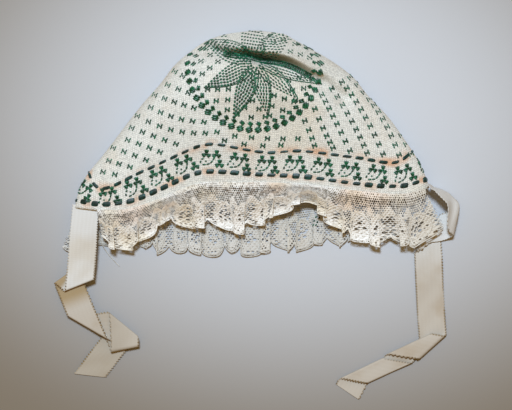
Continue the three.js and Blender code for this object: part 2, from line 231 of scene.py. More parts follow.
def trough_depth(x, y, troughs):
    """How deep the cloth has sunk where these dents lie."""
    depth = np.zeros_like(x)
    for x0, y0, x1, y1, width, share in troughs:
        start = np.array([x0 * CAP_WIDTH, -y0 * CAP_LENGTH])
        way = np.array([x1 * CAP_WIDTH, -y1 * CAP_LENGTH]) - start
        along = np.clip(((x - start[0]) * way[0] + (y - start[1]) * way[1]) / (way @ way), 0, 1)
        gap = np.hypot(x - start[0] - along * way[0], y - start[1] - along * way[1])
        depth += share * CROWN_RISE * np.exp(-((gap / (width * CAP_WIDTH)) ** 2))
    return depth


def crease_step(x, y):
    """How much higher the cloth stands above the crease, and how much painted shade lies on its
    face.
    """
    line, height = np.moveaxis(read_table(CREASE, x / MM), -1, 0)
    over = y / MM - line
    inside = (x / MM > CREASE[0][0]) & (x / MM < CREASE[-1][0])
    height = np.where(inside, np.maximum(height, 0), 0)
    fading = np.exp(-np.maximum(over - CREASE_FACE, 0) / CREASE_FADE)
    step = smoothstep(over, 0, CREASE_FACE) * fading
    foot = np.exp(-((over / FOOT_WIDTH) ** 2))
    in_shade = np.exp(-(((over - SHADE_AT) / SHADE_WIDTH) ** 2))
    return height * MM * (step - FOOT_DEPTH * foot), height / TALLEST * in_shade


print("the tallest step of the crease is", max(height for _, _, height in CREASE), "mm")

# %% [markdown]
# ## From the tables to a point of the cloth
#
# The whole shell is one formula. It takes two numbers, a share of the length and an angle round
# the cap, and gives a point. It could be modelled by hand from a sphere, but then nothing else
# could be sewn to it: with a formula, ribbons, sprigs and lace ask the same function for places.

# %% A point of the cap for any share of its length and any angle round it


def thinned(size, inset):
    """A half size less the inset, but never below half of itself."""
    return size - inset * np.minimum(1, size / (2 * abs(inset) + 1e-9))


def cap_points(along, angle, inset=0.0):
    """along: 0 crown fold, 1 open edge. angle: 0 right fold, pi/2 on top, pi left fold."""
    along, angle = np.broadcast_arrays(np.asarray(along, float), np.asarray(angle, float))
    across, up = np.cos(angle), np.sin(angle)
    left, right, rise = np.moveaxis(read_table(OUTLINE, along), -1, 0)
    rise = thinned(CROWN_RISE * rise, inset)
    half = thinned(CAP_WIDTH * (left + right) / 2, inset)
    x = CAP_WIDTH * (right - left) / 2 + half * across
    nape, brow = np.moveaxis(read_table(OPEN_EDGE, across), -1, 0)
    y = -along * CAP_LENGTH * np.where(up > 0, nape, brow) - inset * (1 - along) ** 2
    heel = np.sin(np.minimum(1, along / HEEL_SHARE) * np.pi / 2)
    lift = EDGE_LIFT * smoothstep(along, LIFT_START, LIFT_END)
    curl = np.sin(np.minimum(1, np.abs(up) / FLAT_SHARE) * np.pi / 2)
    sunk = trough_depth(x, y, DENTS + PUCKERS) - crease_step(x, y)[0]
    sunk = sunk * np.minimum(1, 2 * np.abs(up)) * np.minimum(1, rise / CROWN_RISE)
    above = rise * np.abs(up) ** SECTION_POWER - sunk
    z = FOLD_HEIGHT + lift + np.where(up > 0, above, -thinned(FOLD_HEIGHT * heel, inset) * curl)
    return np.stack([x, y, z], axis=-1) + CROWN


print("a point near the top of the crown, in mm:", (cap_points(0.3, math.pi / 2) / MM).round(1))

# %% [markdown]
# ## Meshes from arrays
#
# Every cloth piece here is a grid of points. One helper turns arrays of points and faces into a
# smooth-shaded Blender object, and can carry a map of where each corner lies on the flat cloth.

# %% Make an object from points and faces


def make_object(name, points, faces, material=None, flat=None):
    """A smooth-shaded object. flat gives each point a place on the flat cloth."""
    mesh = bpy.data.meshes.new(name)
    mesh.from_pydata(np.asarray(points, float).tolist(), [], [list(map(int, f)) for f in faces])
    mesh.polygons.foreach_set("use_smooth", [True] * len(mesh.polygons))
    if flat is not None:
        corner_points = np.empty(len(mesh.loops), np.int32)
        mesh.loops.foreach_get("vertex_index", corner_points)
        layer = mesh.uv_layers.new(name="flat")
        layer.data.foreach_set("uv", np.asarray(flat, np.float32)[corner_points].ravel())
    piece = bpy.data.objects.new(name, mesh)
    scene.collection.objects.link(piece)
    if material:
        mesh.materials.append(material)
    return piece


def grid_faces(rows, columns, ring=False):
    """Quads of a grid of points stored row by row. ring joins the last column to the first."""
    index = np.arange(rows * columns).reshape(rows, columns)
    if ring:
        index = np.hstack([index, index[:, :1]])
    a, b, c, d = index[:-1, :-1], index[1:, :-1], index[1:, 1:], index[:-1, 1:]
    return np.stack([a, b, c, d], axis=-1).reshape(-1, 4)


print("a grid of 3 by 4 points has", len(grid_faces(3, 4)), "faces")

# %% [markdown]
# ## Writing shader maths as plain expressions
#
# A small class wraps a node socket, so that sums and products on sockets add the Math nodes they
# need. Colours go through Mix nodes, because a Math node would turn them grey.

# %% A socket that can be added, multiplied and mixed


class Value:
    """A number or a colour on its way through a material."""

    def __init__(self, shader, socket):
        self.shader, self.socket = shader, socket

    def math(self, operation, *others):
        return self.shader.node("Math", {"operation": operation}, [self, *others])

    def __add__(self, other):
        return self.math("ADD", other)

    __radd__ = __add__

    def __mul__(self, other):
        return self.math("MULTIPLY", other)

    __rmul__ = __mul__

    def __sub__(self, other):
        return self.math("SUBTRACT", other)

    def __rsub__(self, other):
        return self.shader.node("Math", {"operation": "SUBTRACT"}, [other, self])

    def fraction(self):
        return self.math("FRACT")

    def sine(self):
        return self.math("SINE")

    def size(self):
        return self.math("ABSOLUTE")

    def between(self, low, high, out_low=0.0, out_high=1.0):
        """0 to 1 as the value goes from low to high, kept inside those limits."""
        inputs = {"Value": self, "From Min": low, "From Max": high}
        inputs.update({"To Min": out_low, "To Max": out_high})
        return self.shader.node("MapRange", {"interpolation_type": "SMOOTHSTEP"}, inputs)


print("a Value has", sum(map(callable, vars(Value).values())), "operations")

# %% [markdown]
# ## One material as one object
#
# A second class holds a material. Its node method adds any node by name, with its settings and
# the values or links of its sockets, and hands back an output to go on with. The few nodes that
# every finish of this cap needs, such as noise and the flat map, have short names of their own.

# %% A material whose nodes are added by name


class Shader:
    """One material: its nodes are added by name, and its outputs come back as Values."""

    def __init__(self, name, **constants):
        self.material = bpy.data.materials.new(name)
        self.material.use_nodes = True
        self.tree = self.material.node_tree
        self.surface = self.tree.nodes["Principled BSDF"]
        for socket, constant in constants.items():
            self.surface.inputs[socket.replace("_", " ")].default_value = constant

    def node(self, kind, settings=None, inputs=(), output=0):
        made = self.tree.nodes.new("ShaderNode" + kind)
        for name, setting in (settings or {}).items():
            setattr(made, name, setting)
        pairs = inputs.items() if isinstance(inputs, dict) else enumerate(inputs)
        for key, given in pairs:
            if isinstance(given, Value):
                self.tree.links.new(given.socket, made.inputs[key])
            else:
                made.inputs[key].default_value = given
        return Value(self, made.outputs[output])

    def mix(self, factor, first, second, blend="MIX"):
        settings = {"data_type": "RGBA", "blend_type": blend}
        return self.node("Mix", settings, {0: factor, 6: first, 7: second}, output=2)

    def noise(self, where, scale, detail=3.0, roughness=0.5):
        inputs = {"Vector": where, "Scale": scale, "Detail": detail, "Roughness": roughness}
        return self.node("TexNoise", {}, inputs)

    def place(self):
        return self.node("TexCoord", output="Object")

    def flat(self):
        """Where a corner lies on the flat cloth, as two values."""
        uv = self.node("UVMap", {"uv_map": "flat"})
        return (
            self.node("SeparateXYZ", inputs=[uv], output=0),
            self.node("SeparateXYZ", inputs=[uv], output=1),
        )

    def attribute(self, name):
        return self.node("Attribute", {"attribute_name": name}, output="Fac")

    def set(self, socket, given):
        self.tree.links.new(given.socket, self.surface.inputs[socket])

    def bump(self, height, strength, distance):
        inputs = {"Height": height, "Strength": strength, "Distance": distance}
        self.set("Normal", self.node("Bump", {}, inputs))


print("a Shader has", sum(map(callable, vars(Shader).values())), "methods")

# %% [markdown]
# ## The knitting: finish
#
# Fine cotton stocking stitch, hundreds of stitches round. Each stitch is a small V, far too small
# to model one by one, so a bump draws them from the flat map. Age has left the cotton cream with
# faint yellow blooms, and rust colour has crept out of the threaded ribbons into the border.

# %% Knitted cotton
CREAM, DEEP_CREAM = (0.915, 0.91, 0.835, 1), (0.89, 0.84, 0.735, 1)
# the third colour below is painted shade in the crease, and dust at the middle of the star
YELLOW_BLOOM, RUST, SHADE_AND_DUST = (0.84, 0.7, 0.46, 1), (0.86, 0.53, 0.33, 1), (0.06, 0.09, 0.035, 1)

knit = Shader("knitted_cotton", Roughness=0.93, Specular_IOR_Level=0.2)
across_stitch, along_stitch = knit.flat()
half_stitch = (across_stitch.fraction() - 0.5).size()
v_shape = (along_stitch + half_stitch * 1.1).fraction()
stitch = (v_shape - 0.5).size().between(0.5, 0.14) * half_stitch.between(0.5, 0.28)
mottling = knit.noise(knit.place(), 60.0, 4.0).between(0.45, 0.72)
cream = knit.mix(mottling, CREAM, DEEP_CREAM)
bloom = knit.noise(knit.place(), 19.0, 2.0).between(0.55, 0.75) * 0.3
cream = knit.mix(bloom, cream, YELLOW_BLOOM)
stain = knit.attribute("rust") * knit.noise(knit.place(), 120.0, 3.0).between(0.3, 0.64)
cream = knit.mix(stain.between(0.02, 0.85), cream, RUST)
# painted shade on the face of the crease, with dust at the middle of the star
shade_and_dust_amount = knit.attribute("crease_shade_and_dust") * 0.8
cream = knit.mix(shade_and_dust_amount, cream, SHADE_AND_DUST)
uneven = knit.noise(knit.place(), 1000.0, 2.0).between(0.35, 0.6, 0.78, 1.0)
grain = stitch.between(0.0, 1.0, 0.8, 1.02) * uneven
shade = knit.node("CombineColor", inputs=[grain, grain, grain])
knit.set("Base Color", knit.mix(1.0, cream, shade, "MULTIPLY"))
knit.bump(stitch, 0.7, 0.3 * MM)
print("knitting:", len(knit.tree.nodes), "nodes")

# %% [markdown]
# ## The knitted cap
#
# The shell is one grid: rings from the crown fold to the open edge. Rings crowd together near the
# fold, where the cloth turns sharply. It is a single sheet so far, and gets its thickness later.

# %% Knitted shell
AROUND = 360
ALONG = 112
CROWDING = 1.2  # 1 spreads the rings evenly, more crowds them at the fold
STITCH_WIDTH = 1.15 * MM
STITCH_HEIGHT = 1.0 * MM

angles = 2 * np.pi * np.arange(AROUND) / AROUND
shares = (np.arange(1, ALONG + 1) / ALONG) ** CROWDING
rings = cap_points(shares[:, None], angles[None, :])
top = cap_points(0.0, 0.0)
shell_points = np.vstack([rings.reshape(-1, 3), top[None]])
shell_faces = [tuple(f) for f in grid_faces(ALONG, AROUND, ring=True)[:, ::-1]]
crown_index = len(shell_points) - 1
shell_faces += [(crown_index, (i + 1) % AROUND, i) for i in range(AROUND)]
print("shell:", ALONG, "rings of", AROUND, "points")

# %% [markdown]
# ## A flat map of the knitting
#
# Stitches keep their size wherever the cloth bends, so their map can't be a plain projection from
# above. Each point is given the distance that a tape would measure on the cloth: round the cap
# from the middle of the nape side, and down from the crown. Both are counted in stitches.

# %% Distances on the cloth become the flat map of the shell
steps_round = np.linalg.norm(np.roll(rings, -1, axis=1) - rings, axis=2)
from_top = (np.arange(AROUND) + AROUND // 4) % AROUND
walked = np.cumsum(steps_round[:, from_top], axis=1) - steps_round[:, from_top]
whole = steps_round.sum(axis=1, keepdims=True)
one_side = walked[:, AROUND // 2][:, None]
leftwards = walked * whole / 2 / one_side
rightwards = (whole - walked) * whole / 2 / (whole - one_side)
cloth_x = np.empty_like(walked)
cloth_x[:, from_top] = np.where(np.arange(AROUND) <= AROUND // 2, leftwards, rightwards)
from_crown = np.concatenate([np.broadcast_to(top, (1, AROUND, 3)), rings])
cloth_y = np.cumsum(np.linalg.norm(np.diff(from_crown, axis=0), axis=2), axis=0)
shell_flat = np.stack([cloth_x / STITCH_WIDTH, cloth_y / STITCH_HEIGHT], -1).reshape(-1, 2)
shell_flat = np.vstack([shell_flat, [[0, 0]]])
knitted_cap = make_object("knitted_shell", shell_points, shell_faces, knit.material, shell_flat)
surface = BVHTree.FromPolygons(shell_points.tolist(), shell_faces)
cloth_area = sum(face.area for face in knitted_cap.data.polygons)
edge_round = float(whole[-1, 0])
print("knitted shell:", len(shell_faces), "faces,", round(cloth_area, 4), "square metres,")
print("its edge is", round(edge_round, 3), "m round, its length", cloth_y[-1].mean().round(3))

# %% [markdown]
# ## Two ribbons threaded through the border
#
# A narrow green ribbon is drawn in and out of the knitting above the border of sprigs, and a wider
# one below it. Each shows as dashes. They are modelled as ribbons that really dive through the
# cloth, so that each dash is domed and has soft ends.

# %% Where the two ribbons run
# place across, then upper and lower ribbon on the nape side, upper and lower on the brow side
THREADING = [
    (-1, 0.8, 0.958, 0.8, 0.958),
    (-0.87, 0.88, 0.965, 0.815, 0.95),
    (-0.67, 0.79, 0.948, 0.82, 0.945),
    (-0.32, 0.745, 0.922, 0.82, 0.945),
    (0.08, 0.8, 0.942, 0.82, 0.945),
    (0.28, 0.782, 0.942, 0.82, 0.945),
    (0.65, 0.787, 0.948, 0.82, 0.945),
    (0.87, 0.806, 0.946, 0.815, 0.945),
    (1, 0.769, 0.947, 0.769, 0.947),
]


def thread_share(angle, line):
    """Share of the cap's length where a ribbon runs. line: 0 upper ribbon, 1 lower ribbon."""
    columns = read_table(THREADING, np.cos(angle))
    return np.where(np.sin(angle) > 0, columns[..., line], columns[..., 2 + line])


def even_angles(share_at, count):
    """Angles of places that are the same distance apart along a line round the cap."""
    fine = np.linspace(0, 2 * np.pi, 4001)
    line = cap_points(share_at(fine), fine)
    walked = np.concatenate([[0], np.cumsum(np.linalg.norm(np.diff(line, axis=0), axis=1))])
    wanted = np.arange(count) / count * walked[-1]
    return np.interp(wanted, walked, fine), walked[-1]


middles = [float(thread_share(math.pi / 2, line)) for line in (0, 1)]
print("at the middle of the nape side the ribbons lie at", np.round(middles, 3))

# %% [markdown]
# ## Age and painted shade on the knitting
#
# The ribbons have bled a rusty tint into the cotton on both sides, in patches. Painted shade
# darkens the face of the crease, and dust has settled at the middle of the star. Each amount is
# worked out for every point and stored as an attribute, which the finish above reads. A painted
# picture would need a file.

# %% Rust colour that has crept out of the ribbons, and painted shade in the crease
STAR_CENTRE = np.array([0.0, -16.7])  # mm from the crown fold
STAR_STAIN = 1.9 * MM
RUST_REACH = [0.036, 0.03]  # for the upper and the lower ribbon, as shares of the length
LEAST_RUST, MORE_RUST = 0.25, 0.6  # between patches, and what a patch adds
STAR_RUST, STAR_DUST = 1.2, 0.6
STAINED = 0.4

flat_along = np.repeat(shares, AROUND)
flat_angle = np.tile(angles, ALONG)
rust = np.zeros(len(shell_points))
for line, reach in enumerate(RUST_REACH):
    gap = (flat_along - thread_share(flat_angle, line)) / reach
    patchy = 0.5 + 0.5 * np.sin(7.3 * flat_angle + 2.1 * line) * np.sin(17.1 * flat_angle + 1.0)
    rust[:-1] += np.exp(-(gap**2)) * (LEAST_RUST + MORE_RUST * patchy)
on_top = shell_points - CROWN
upper_side = on_top[:, 2] > FOLD_HEIGHT + 3 * MM
# painted shade on the face of the crease
crease_shade_and_dust = crease_step(on_top[:, 0], on_top[:, 1])[1] * upper_side
to_middle = np.hypot(on_top[:, 0], on_top[:, 1] - STAR_CENTRE[1] * MM) / STAR_STAIN
rust += STAR_RUST * np.exp(-(to_middle**2)) * upper_side
# dust at the middle of the star
crease_shade_and_dust += STAR_DUST * np.exp(-(to_middle**2)) * upper_side
for attribute, amount in (("rust", rust), ("crease_shade_and_dust", crease_shade_and_dust)):
    layer = knitted_cap.data.attributes.new(attribute, "FLOAT", "POINT")
    layer.data.foreach_set("value", np.clip(amount, 0, 1))
print("rust covers", round(float((rust > STAINED).mean()), 3), "of the points")

# %% [markdown]
# ## Thickness of the knitting
#
# Knitted cotton is over a millimetre thick, and the open edge shows it. A second, inner surface
# could be modelled, but a Solidify modifier makes it from the same points. It works inwards, so
# the outer face, on which everything else is sewn, stays where the formula puts it.

# %% A wall for the shell
cloth_wall = knitted_cap.modifiers.new("cloth wall", "SOLIDIFY")
cloth_wall.thickness = KNIT_WALL
cloth_wall.offset = -1
print("the knitting is", round(cloth_wall.thickness / MM, 1), "mm thick")

# %% [markdown]
# ## Green silk
#
# The threaded ribbons are the darkest thing on the cap: bottle green, nearly black, with a soft
# sheen. Fine grooves that run along the ribbon come from a sine of its flat map.

# %% Green silk
silk = Shader("green_silk", Roughness=0.36, Specular_IOR_Level=0.45)
silk_along, silk_across = silk.flat()
sheen = silk.noise(silk.place(), 700.0, 2.0).between(0.4, 0.75)
silk.set("Base Color", silk.mix(sheen, (0.003, 0.018, 0.014, 1), (0.01, 0.08, 0.07, 1)))
silk.bump((silk_across * 30.0).sine(), 0.25, 0.05 * MM)
print("silk:", len(silk.tree.nodes), "nodes")

# %% [markdown]
# ## Weaving a ribbon through the border
#
# The ribbon could be a row of separate dashes, but then nothing would seem to hold them. Here it
# is one closed band. Its height over the cloth switches from above to under the wall at the ends
# of each dash, and its width narrows there, where the knitting nips it. Dashes differ a little in
# length and fullness.

# %% Weave a ribbon through the border
WEAVE_STEPS = 22
DIVE = 0.35 * MM  # how far under the wall the hidden part runs
CLIMB = 0.55 * MM  # from there to just over the wall, without the wall itself
DOME = 0.45 * MM
LEAN = 0.2 * MM  # one edge runs a little ahead of the other
NARROWEST = 0.3  # share of the width left where a dash dives


def woven_ribbon(name, line, width, dashes, shown, shown_below, seed):
    """A ribbon that shows for a share of each dash and runs inside the cap for the rest."""
    dice = np.random.default_rng(seed)
    angle, length = even_angles(lambda a: thread_share(a, line), dashes * WEAVE_STEPS)
    middle = cap_points(thread_share(angle, line), angle)
    ahead = np.roll(middle, -1, axis=0) - np.roll(middle, 1, axis=0)
    ahead /= np.linalg.norm(ahead, axis=1, keepdims=True)
    outward = np.array([surface.find_nearest(Vector(point))[1] for point in middle])
    side = np.cross(outward, ahead)
    phase = (np.arange(len(middle)) % WEAVE_STEPS + 0.5) / WEAVE_STEPS
    long_dash = np.repeat(dice.uniform(0.88, 1.06, dashes), WEAVE_STEPS)
    long_dash = long_dash * np.where(np.sin(angle) > 0, shown, shown_below)
    full = np.repeat(dice.choice([0.72, 0.9, 1.0, 1.0, 1.1], dashes), WEAVE_STEPS)
    over = smoothstep(abs(phase - 0.5), long_dash / 2 + 0.05, long_dash / 2 - 0.04)
    height = -KNIT_WALL - DIVE + over * (KNIT_WALL + CLIMB)
    to_end = np.minimum(1, abs(phase - 0.5) / (long_dash / 2 + 0.02))
    half = width / 2 * full * np.maximum(NARROWEST, np.sqrt(1 - 0.95 * to_end**4))
    strips = np.linspace(-1, 1, 5)
    rows = []
    for strip in strips:
        dome = DOME * (1 - strip**2) * over
        row = middle + outward * (height + dome)[:, None] + side * (strip * half)[:, None]
        rows.append(row + ahead * strip * LEAN)
    points = np.array(rows).reshape(-1, 3)
    flat = np.stack(np.meshgrid(np.arange(len(middle)) / WEAVE_STEPS, strips), -1).reshape(-1, 2)
    faces = grid_faces(len(strips), len(middle), ring=True)
    ribbon = make_object(name, points, faces, silk.material, flat)
    print(name, "is", round(length * 1000), "mm round with", dashes, "dashes")
    return ribbon


UPPER_WIDTH, UPPER_DASHES = 1.6 * MM, 56
LOWER_WIDTH, LOWER_DASHES = 2.6 * MM, 60
upper_ribbon = woven_ribbon(
    "upper_woven_ribbon", 0, UPPER_WIDTH, UPPER_DASHES, shown=0.7, shown_below=0.7, seed=1
)
lower_ribbon = woven_ribbon(
    "lower_woven_ribbon", 1, LOWER_WIDTH, LOWER_DASHES, shown=0.7, shown_below=0.4, seed=2
)

# %% [markdown]
# ## Green stitches
#
# The motifs are rows of tiny glossy dark green ticks, each about a stitch long. A tick is a small
# stretched bead lying on the cloth. Most are placed by where they are seen from above, then
# dropped onto the knitting, so they follow every dent.

# %% Drop a place onto the knitting
CAMERA_AT = np.array(camera.location)
UNDER_TABLE = 10 * MM  # rays for the under side start this far below


def on_knit(places, below=False):
    """Points and normals on the cloth for plan places in mm from the crown fold."""
    points, normals, kept = [], [], []
    for i, (x, y) in enumerate(places):
        target = CROWN + np.array([x, y, 0.0]) * MM
        if below:
            start, way = target - np.array([0, 0, UNDER_TABLE]), np.array([0, 0, 1.0])
        else:
            start, way = CAMERA_AT, target - CAMERA_AT
        hit, normal, _, _ = surface.ray_cast(Vector(start), Vector(way).normalized())
        if hit is not None:
            points.append(hit)
            normals.append(normal)
            kept.append(i)
    return np.array(points).reshape(-1, 3), np.array(normals).reshape(-1, 3), np.array(kept, int)


print("the cloth 40 mm below the crown fold is at", on_knit([(0, -40)])[0].round(4))

# %% [markdown]
# ## The shape of one tick
#
# A tick is seen at two or three millimetres, so a bead with six sides and fuller ends than an
# ellipsoid is enough. It is made once, one unit long and wide, and stretched wherever it is used.

# %% Shape of one tick
TICK_SIDES = 6
TICK_RINGS = 4
TICK_BLUNTNESS = 0.6  # 1 is an ellipsoid, less has fuller ends


def tick_shape():
    """A small bead along X, one unit long and wide."""
    points, faces = [(-0.5, 0, 0)], []
    for ring in range(1, TICK_RINGS):
        turn = np.pi * ring / TICK_RINGS
        for side in range(TICK_SIDES):
            a = 2 * np.pi * side / TICK_SIDES
            blunt = np.sin(turn) ** TICK_BLUNTNESS
            points.append((-0.5 * np.cos(turn), 0.5 * blunt * np.cos(a), 0.5 * blunt * np.sin(a)))
    points.append((0.5, 0, 0))
    for side in range(TICK_SIDES):
        nearby = (side + 1) % TICK_SIDES
        faces.append((0, 1 + nearby, 1 + side))
        for ring in range(TICK_RINGS - 2):
            a, b = 1 + ring * TICK_SIDES, 1 + (ring + 1) * TICK_SIDES
            faces.append((a + side, a + nearby, b + nearby, b + side))
        last = 1 + (TICK_RINGS - 2) * TICK_SIDES
        faces.append((last + side, last + nearby, len(points) - 1))
    return np.array(points), faces


TICK_POINTS, TICK_FACES = tick_shape()
print("a tick has", len(TICK_POINTS), "points and", len(TICK_FACES), "faces")

# %% [markdown]
# ## Many ticks as one mesh
#
# Thousands of ticks as separate objects would be slow to make and to move. So a tick is a few
# numbers: its place, its way along the cloth, its length and its width. Each motif then becomes
# one mesh that holds a copy of the bead for each of its ticks, and arrays place them all at once.

# %% Many ticks as one mesh
TICK_SEAT = 0.12 * MM  # how far its middle stands off the cloth
TICK_FLATNESS = 0.7


def ticks_at(name, points, normals, ways, lengths, widths):
    """One mesh of ticks: each lies at a point of the cloth and runs along its way."""
    points, normals, ways = map(np.array, (points, normals, ways))
    lengths = np.broadcast_to(lengths, len(points))[:, None, None] * MM
    widths = np.broadcast_to(widths, len(points))[:, None, None] * MM
    ways = ways - normals * (ways * normals).sum(-1, keepdims=True)
    ways /= np.linalg.norm(ways, axis=1, keepdims=True)
    side = np.cross(normals, ways)
    made = points[:, None] + normals[:, None] * TICK_SEAT
    made = made + ways[:, None] * TICK_POINTS[None, :, :1] * lengths
    made = made + side[:, None] * TICK_POINTS[None, :, 1:2] * widths
    made = made + normals[:, None] * TICK_POINTS[None, :, 2:3] * widths * TICK_FLATNESS
    made[..., 2] = np.maximum(made[..., 2], 0.0)  # none pokes through the table
    faces = []
    for i in range(len(points)):
        start = i * len(TICK_POINTS)
        faces += [[start + k for k in face] for face in TICK_FACES]
    print(name, "has", len(points), "ticks")
    return make_object(name, made.reshape(-1, 3), faces, green.material)


def make_ticks(name, places, headings, lengths, widths, below=False):
    """Ticks given by their places in mm and their headings in degrees as seen from above."""
    points, normals, kept = on_knit(places, below)
    headings = np.radians(np.broadcast_to(headings, len(places))[kept])
    lengths = np.broadcast_to(lengths, len(places))[kept]
    widths = np.broadcast_to(widths, len(places))[kept]
    ways = np.stack([np.cos(headings), np.sin(headings), np.zeros_like(headings)], -1)
    return ticks_at(name, points, normals, ways, lengths, widths)

# %% [markdown]
# ## The green of the ticks
#
# The same deep green everywhere, glossier than the ribbons, with some ticks lighter than others.
# Noise that is read by place does that without a colour for each tick.

# %% Glossy dark green
DARK_GREEN, MID_GREEN = (0.001, 0.036, 0.013, 1), (0.01, 0.145, 0.068, 1)

green = Shader("glossy_green", Roughness=0.32, Specular_IOR_Level=0.55)
tone = green.noise(green.place(), 600.0, 2.0)
green.set("Base Color", green.mix(tone.between(0.38, 0.68), DARK_GREEN, MID_GREEN))
green.bump(green.noise(green.place(), 2500.0, 1.0), 0.2, 0.05 * MM)
print("green:", len(green.tree.nodes), "nodes")

# %% [markdown]
# ## Scattered spots
#
# Small spots of five ticks stand in straight strings down the knitting. Each string is a row of
# this table: its two ends, the middle that it bends through, and how many spots it has.

# %% Strings of spots on the upper side
# x, y of the start, of the middle and of the end in mm from the crown fold, then how many spots
STRINGS = [
    (-42.7, -21.2, -40.5, -22.4, -38.4, -23.6, 2),
    (-46.4, -28.4, -40.8, -30.6, -35.5, -32.6, 3),
    (-53.3, -33.7, -43.0, -37.4, -32.6, -40.5, 5),
    (-55.4, -40.3, -42.0, -45.8, -27.3, -48.0, 6),
    (-62.5, -44.8, -41.8, -52.7, -20.4, -53.3, 8),
    (-65.5, -51.1, -54.0, -55.4, -42.1, -59.6, 5),
    (-67.6, -57.5, -59.0, -60.6, -50.6, -63.9, 4),
    (-75.3, -61.7, -66.8, -64.7, -58.0, -68.1, 4),
    (-77.6, -68.6, -72.3, -70.2, -66.5, -71.8, 3),
    (-80.8, -74.5, -77.6, -75.2, -74.5, -75.8, 2),
    (-10.9, -55.4, 6.4, -56.7, 22.5, -56.8, 5),
    (-16.4, -57.8, -1.0, -60.3, 13.5, -60.2, 4),
    (60.2, -35.8, 68.6, -48.5, 76.1, -65.5, 8),
    (45.8, -26.8, 57.2, -43.5, 67.6, -65.0, 10),
    (40.5, -30.3, 51.1, -47.7, 59.1, -64.4, 9),
    (35.2, -33.7, 42.1, -46.9, 50.1, -63.3, 8),
    (31.5, -41.1, 36.8, -53.3, 41.1, -61.7, 6),
    (26.2, -47.4, 29.2, -54.5, 31.3, -60.5, 4),
    (50.0, -24.3, 53.8, -28.0, 57.2, -31.9, 3),
    (77.1, -54.9, 79.8, -59.6, 82.4, -64.9, 3),
]
print(len(STRINGS), "strings,", sum(row[-1] for row in STRINGS), "spots")

# %% [markdown]
# ## One spot, and a string of them
#
# A spot is five ticks that look like a slanted N: two uprights of two ticks each, and one tick
# across. It is turned with its string, so that the uprights run down the cap.

# %% Place the spots of every string


def spot_string(row):
    """Middles of the spots of one string, and its heading in degrees."""
    x0, y0, xm, ym, x1, y1, count = row
    t = np.linspace(0, 1, count)
    ends = np.outer(1 - t, [x0, y0]) + np.outer(t, [x1, y1])
    bend = np.array([xm - (x0 + x1) / 2, ym - (y0 + y1) / 2])
    heading = math.degrees(math.atan2(y1 - y0, x1 - x0))
    return ends + np.outer(4 * t * (1 - t), bend), heading


def turn(offset, degrees):
    """An offset turned about its own start."""
    x, y = offset
    a = math.radians(degrees)
    return np.array([x * math.cos(a) - y * math.sin(a), x * math.sin(a) + y * math.cos(a)])


# offset of each tick of a spot from its middle, and its slant
SPOT = [(-0.95, 0.68, 72), (1.0, 0.72, 72), (0, 0, -38), (-1.0, -0.72, 72), (0.95, -0.68, 72)]
SPOT_TICK = (1.6, 0.9)  # length and width in mm
STEEP = 40  # strings steeper than this many degrees run down the cap, the others across it


def spots(centres, heading):
    """Places and headings of the ticks of spots at these centres."""
    places, headings = [], []
    for centre in centres:
        for dx, dy, slant in SPOT:
            places.append(centre + turn((dx, dy), heading))
            headings.append(heading + slant)
    return places, headings


places, headings = [], []
for row in STRINGS:
    centres, heading = spot_string(row)
    upright = heading if abs(heading) < STEEP else heading + 90
    more = spots(centres, upright)
    places += more[0]
    headings += more[1]
print(len(places), "ticks in these spots")

# %% [markdown]
# ## Spots between the petals
#
# Six spots make a small triangle in each gap of the star. The gaps above the crease are seen
# foreshortened, so those triangles are flatter.

# %% Triangles of spots round the star
# direction of each triangle from the star's middle in degrees, and its squash up and down
TRIANGLES = [
    (-136, 1),
    (-94.5, 1),
    (-60, 1),
    (-28, 1),
    (178, 0.9),
    (140, 0.62),
    (62, 0.62),
    (22, 0.8),
]
# how far out each row of a triangle lies in mm, and how far aside its spots lie in degrees
TRIANGLE_ROWS = [(19.9, (0,)), (24.4, (-9, 9)), (28.9, (-15, 0, 15))]

for direction, squash in TRIANGLES:
    for radius, spread in TRIANGLE_ROWS:
        for aside in spread:
            a = math.radians(direction + aside)
            centre = STAR_CENTRE + radius * np.array([math.cos(a), squash * math.sin(a)])
            more = spots([centre], 0)
            places += more[0]
            headings += more[1]
upper_spots = make_ticks("spots_nape_side", places, headings, *SPOT_TICK)

# %% [markdown]
# ## The star
#
# Eight petals of slanted ticks grow from a small brown centre. Each petal is a row of the table:
# its tip and its half width. Its outline is a sine, so that it is pointed at both ends and fullest
# nearer the middle of the star.

# %% Table and outline of the petals
# tip x, y in mm from the star's middle, half width in mm, 1 or -1 for the side with a solid
# edge, width of a tick in mm
PETALS = [
    (-26.5, -12.6, 5.2, 1, 1.2),
    (-11.9, -29.2, 5.0, 1, 1.2),
    (6.4, -27.6, 4.6, 1, 1.0),
    (22.0, -18.8, 4.2, 1, 0.88),
    (34.5, -10.6, 2.8, -1, 0.84),
    (21.0, 19.5, 5.6, 1, 1.05),
    (-3.4, 24.0, 6.0, -1, 1.15),
    (-27.0, 11.5, 5.6, -1, 1.15),
]
PETAL_FOOT, EDGE_FOOT = 2.8, 4.0  # how far from the star's middle its ticks begin, in mm
ROW_STEP, TICK_STEP = 1.75, 1.45
PETAL_LEAN = 8  # degrees
EDGE_STEP, EDGE_TICK = 1.35, (1.8, 0.75)


def petal_edge(half_width, length, row_at):
    """Half width of a petal at this distance along it, and the way its edge turns there."""
    turned = math.pi * min(1, row_at / length) ** 0.8
    flare = math.degrees(half_width * math.pi * math.cos(turned) / length)
    return half_width * math.sin(turned), flare


longest = max(math.hypot(*row[:2]) for row in PETALS)
print(len(PETALS), "petals, the longest", round(longest, 1), "mm")

# %% [markdown]
# ## Ticks of the petals
#
# Rows of ticks run across each petal and lean towards its tip. One edge of each petal has an
# unbroken line of ticks besides, which makes the petals seem to overlap.

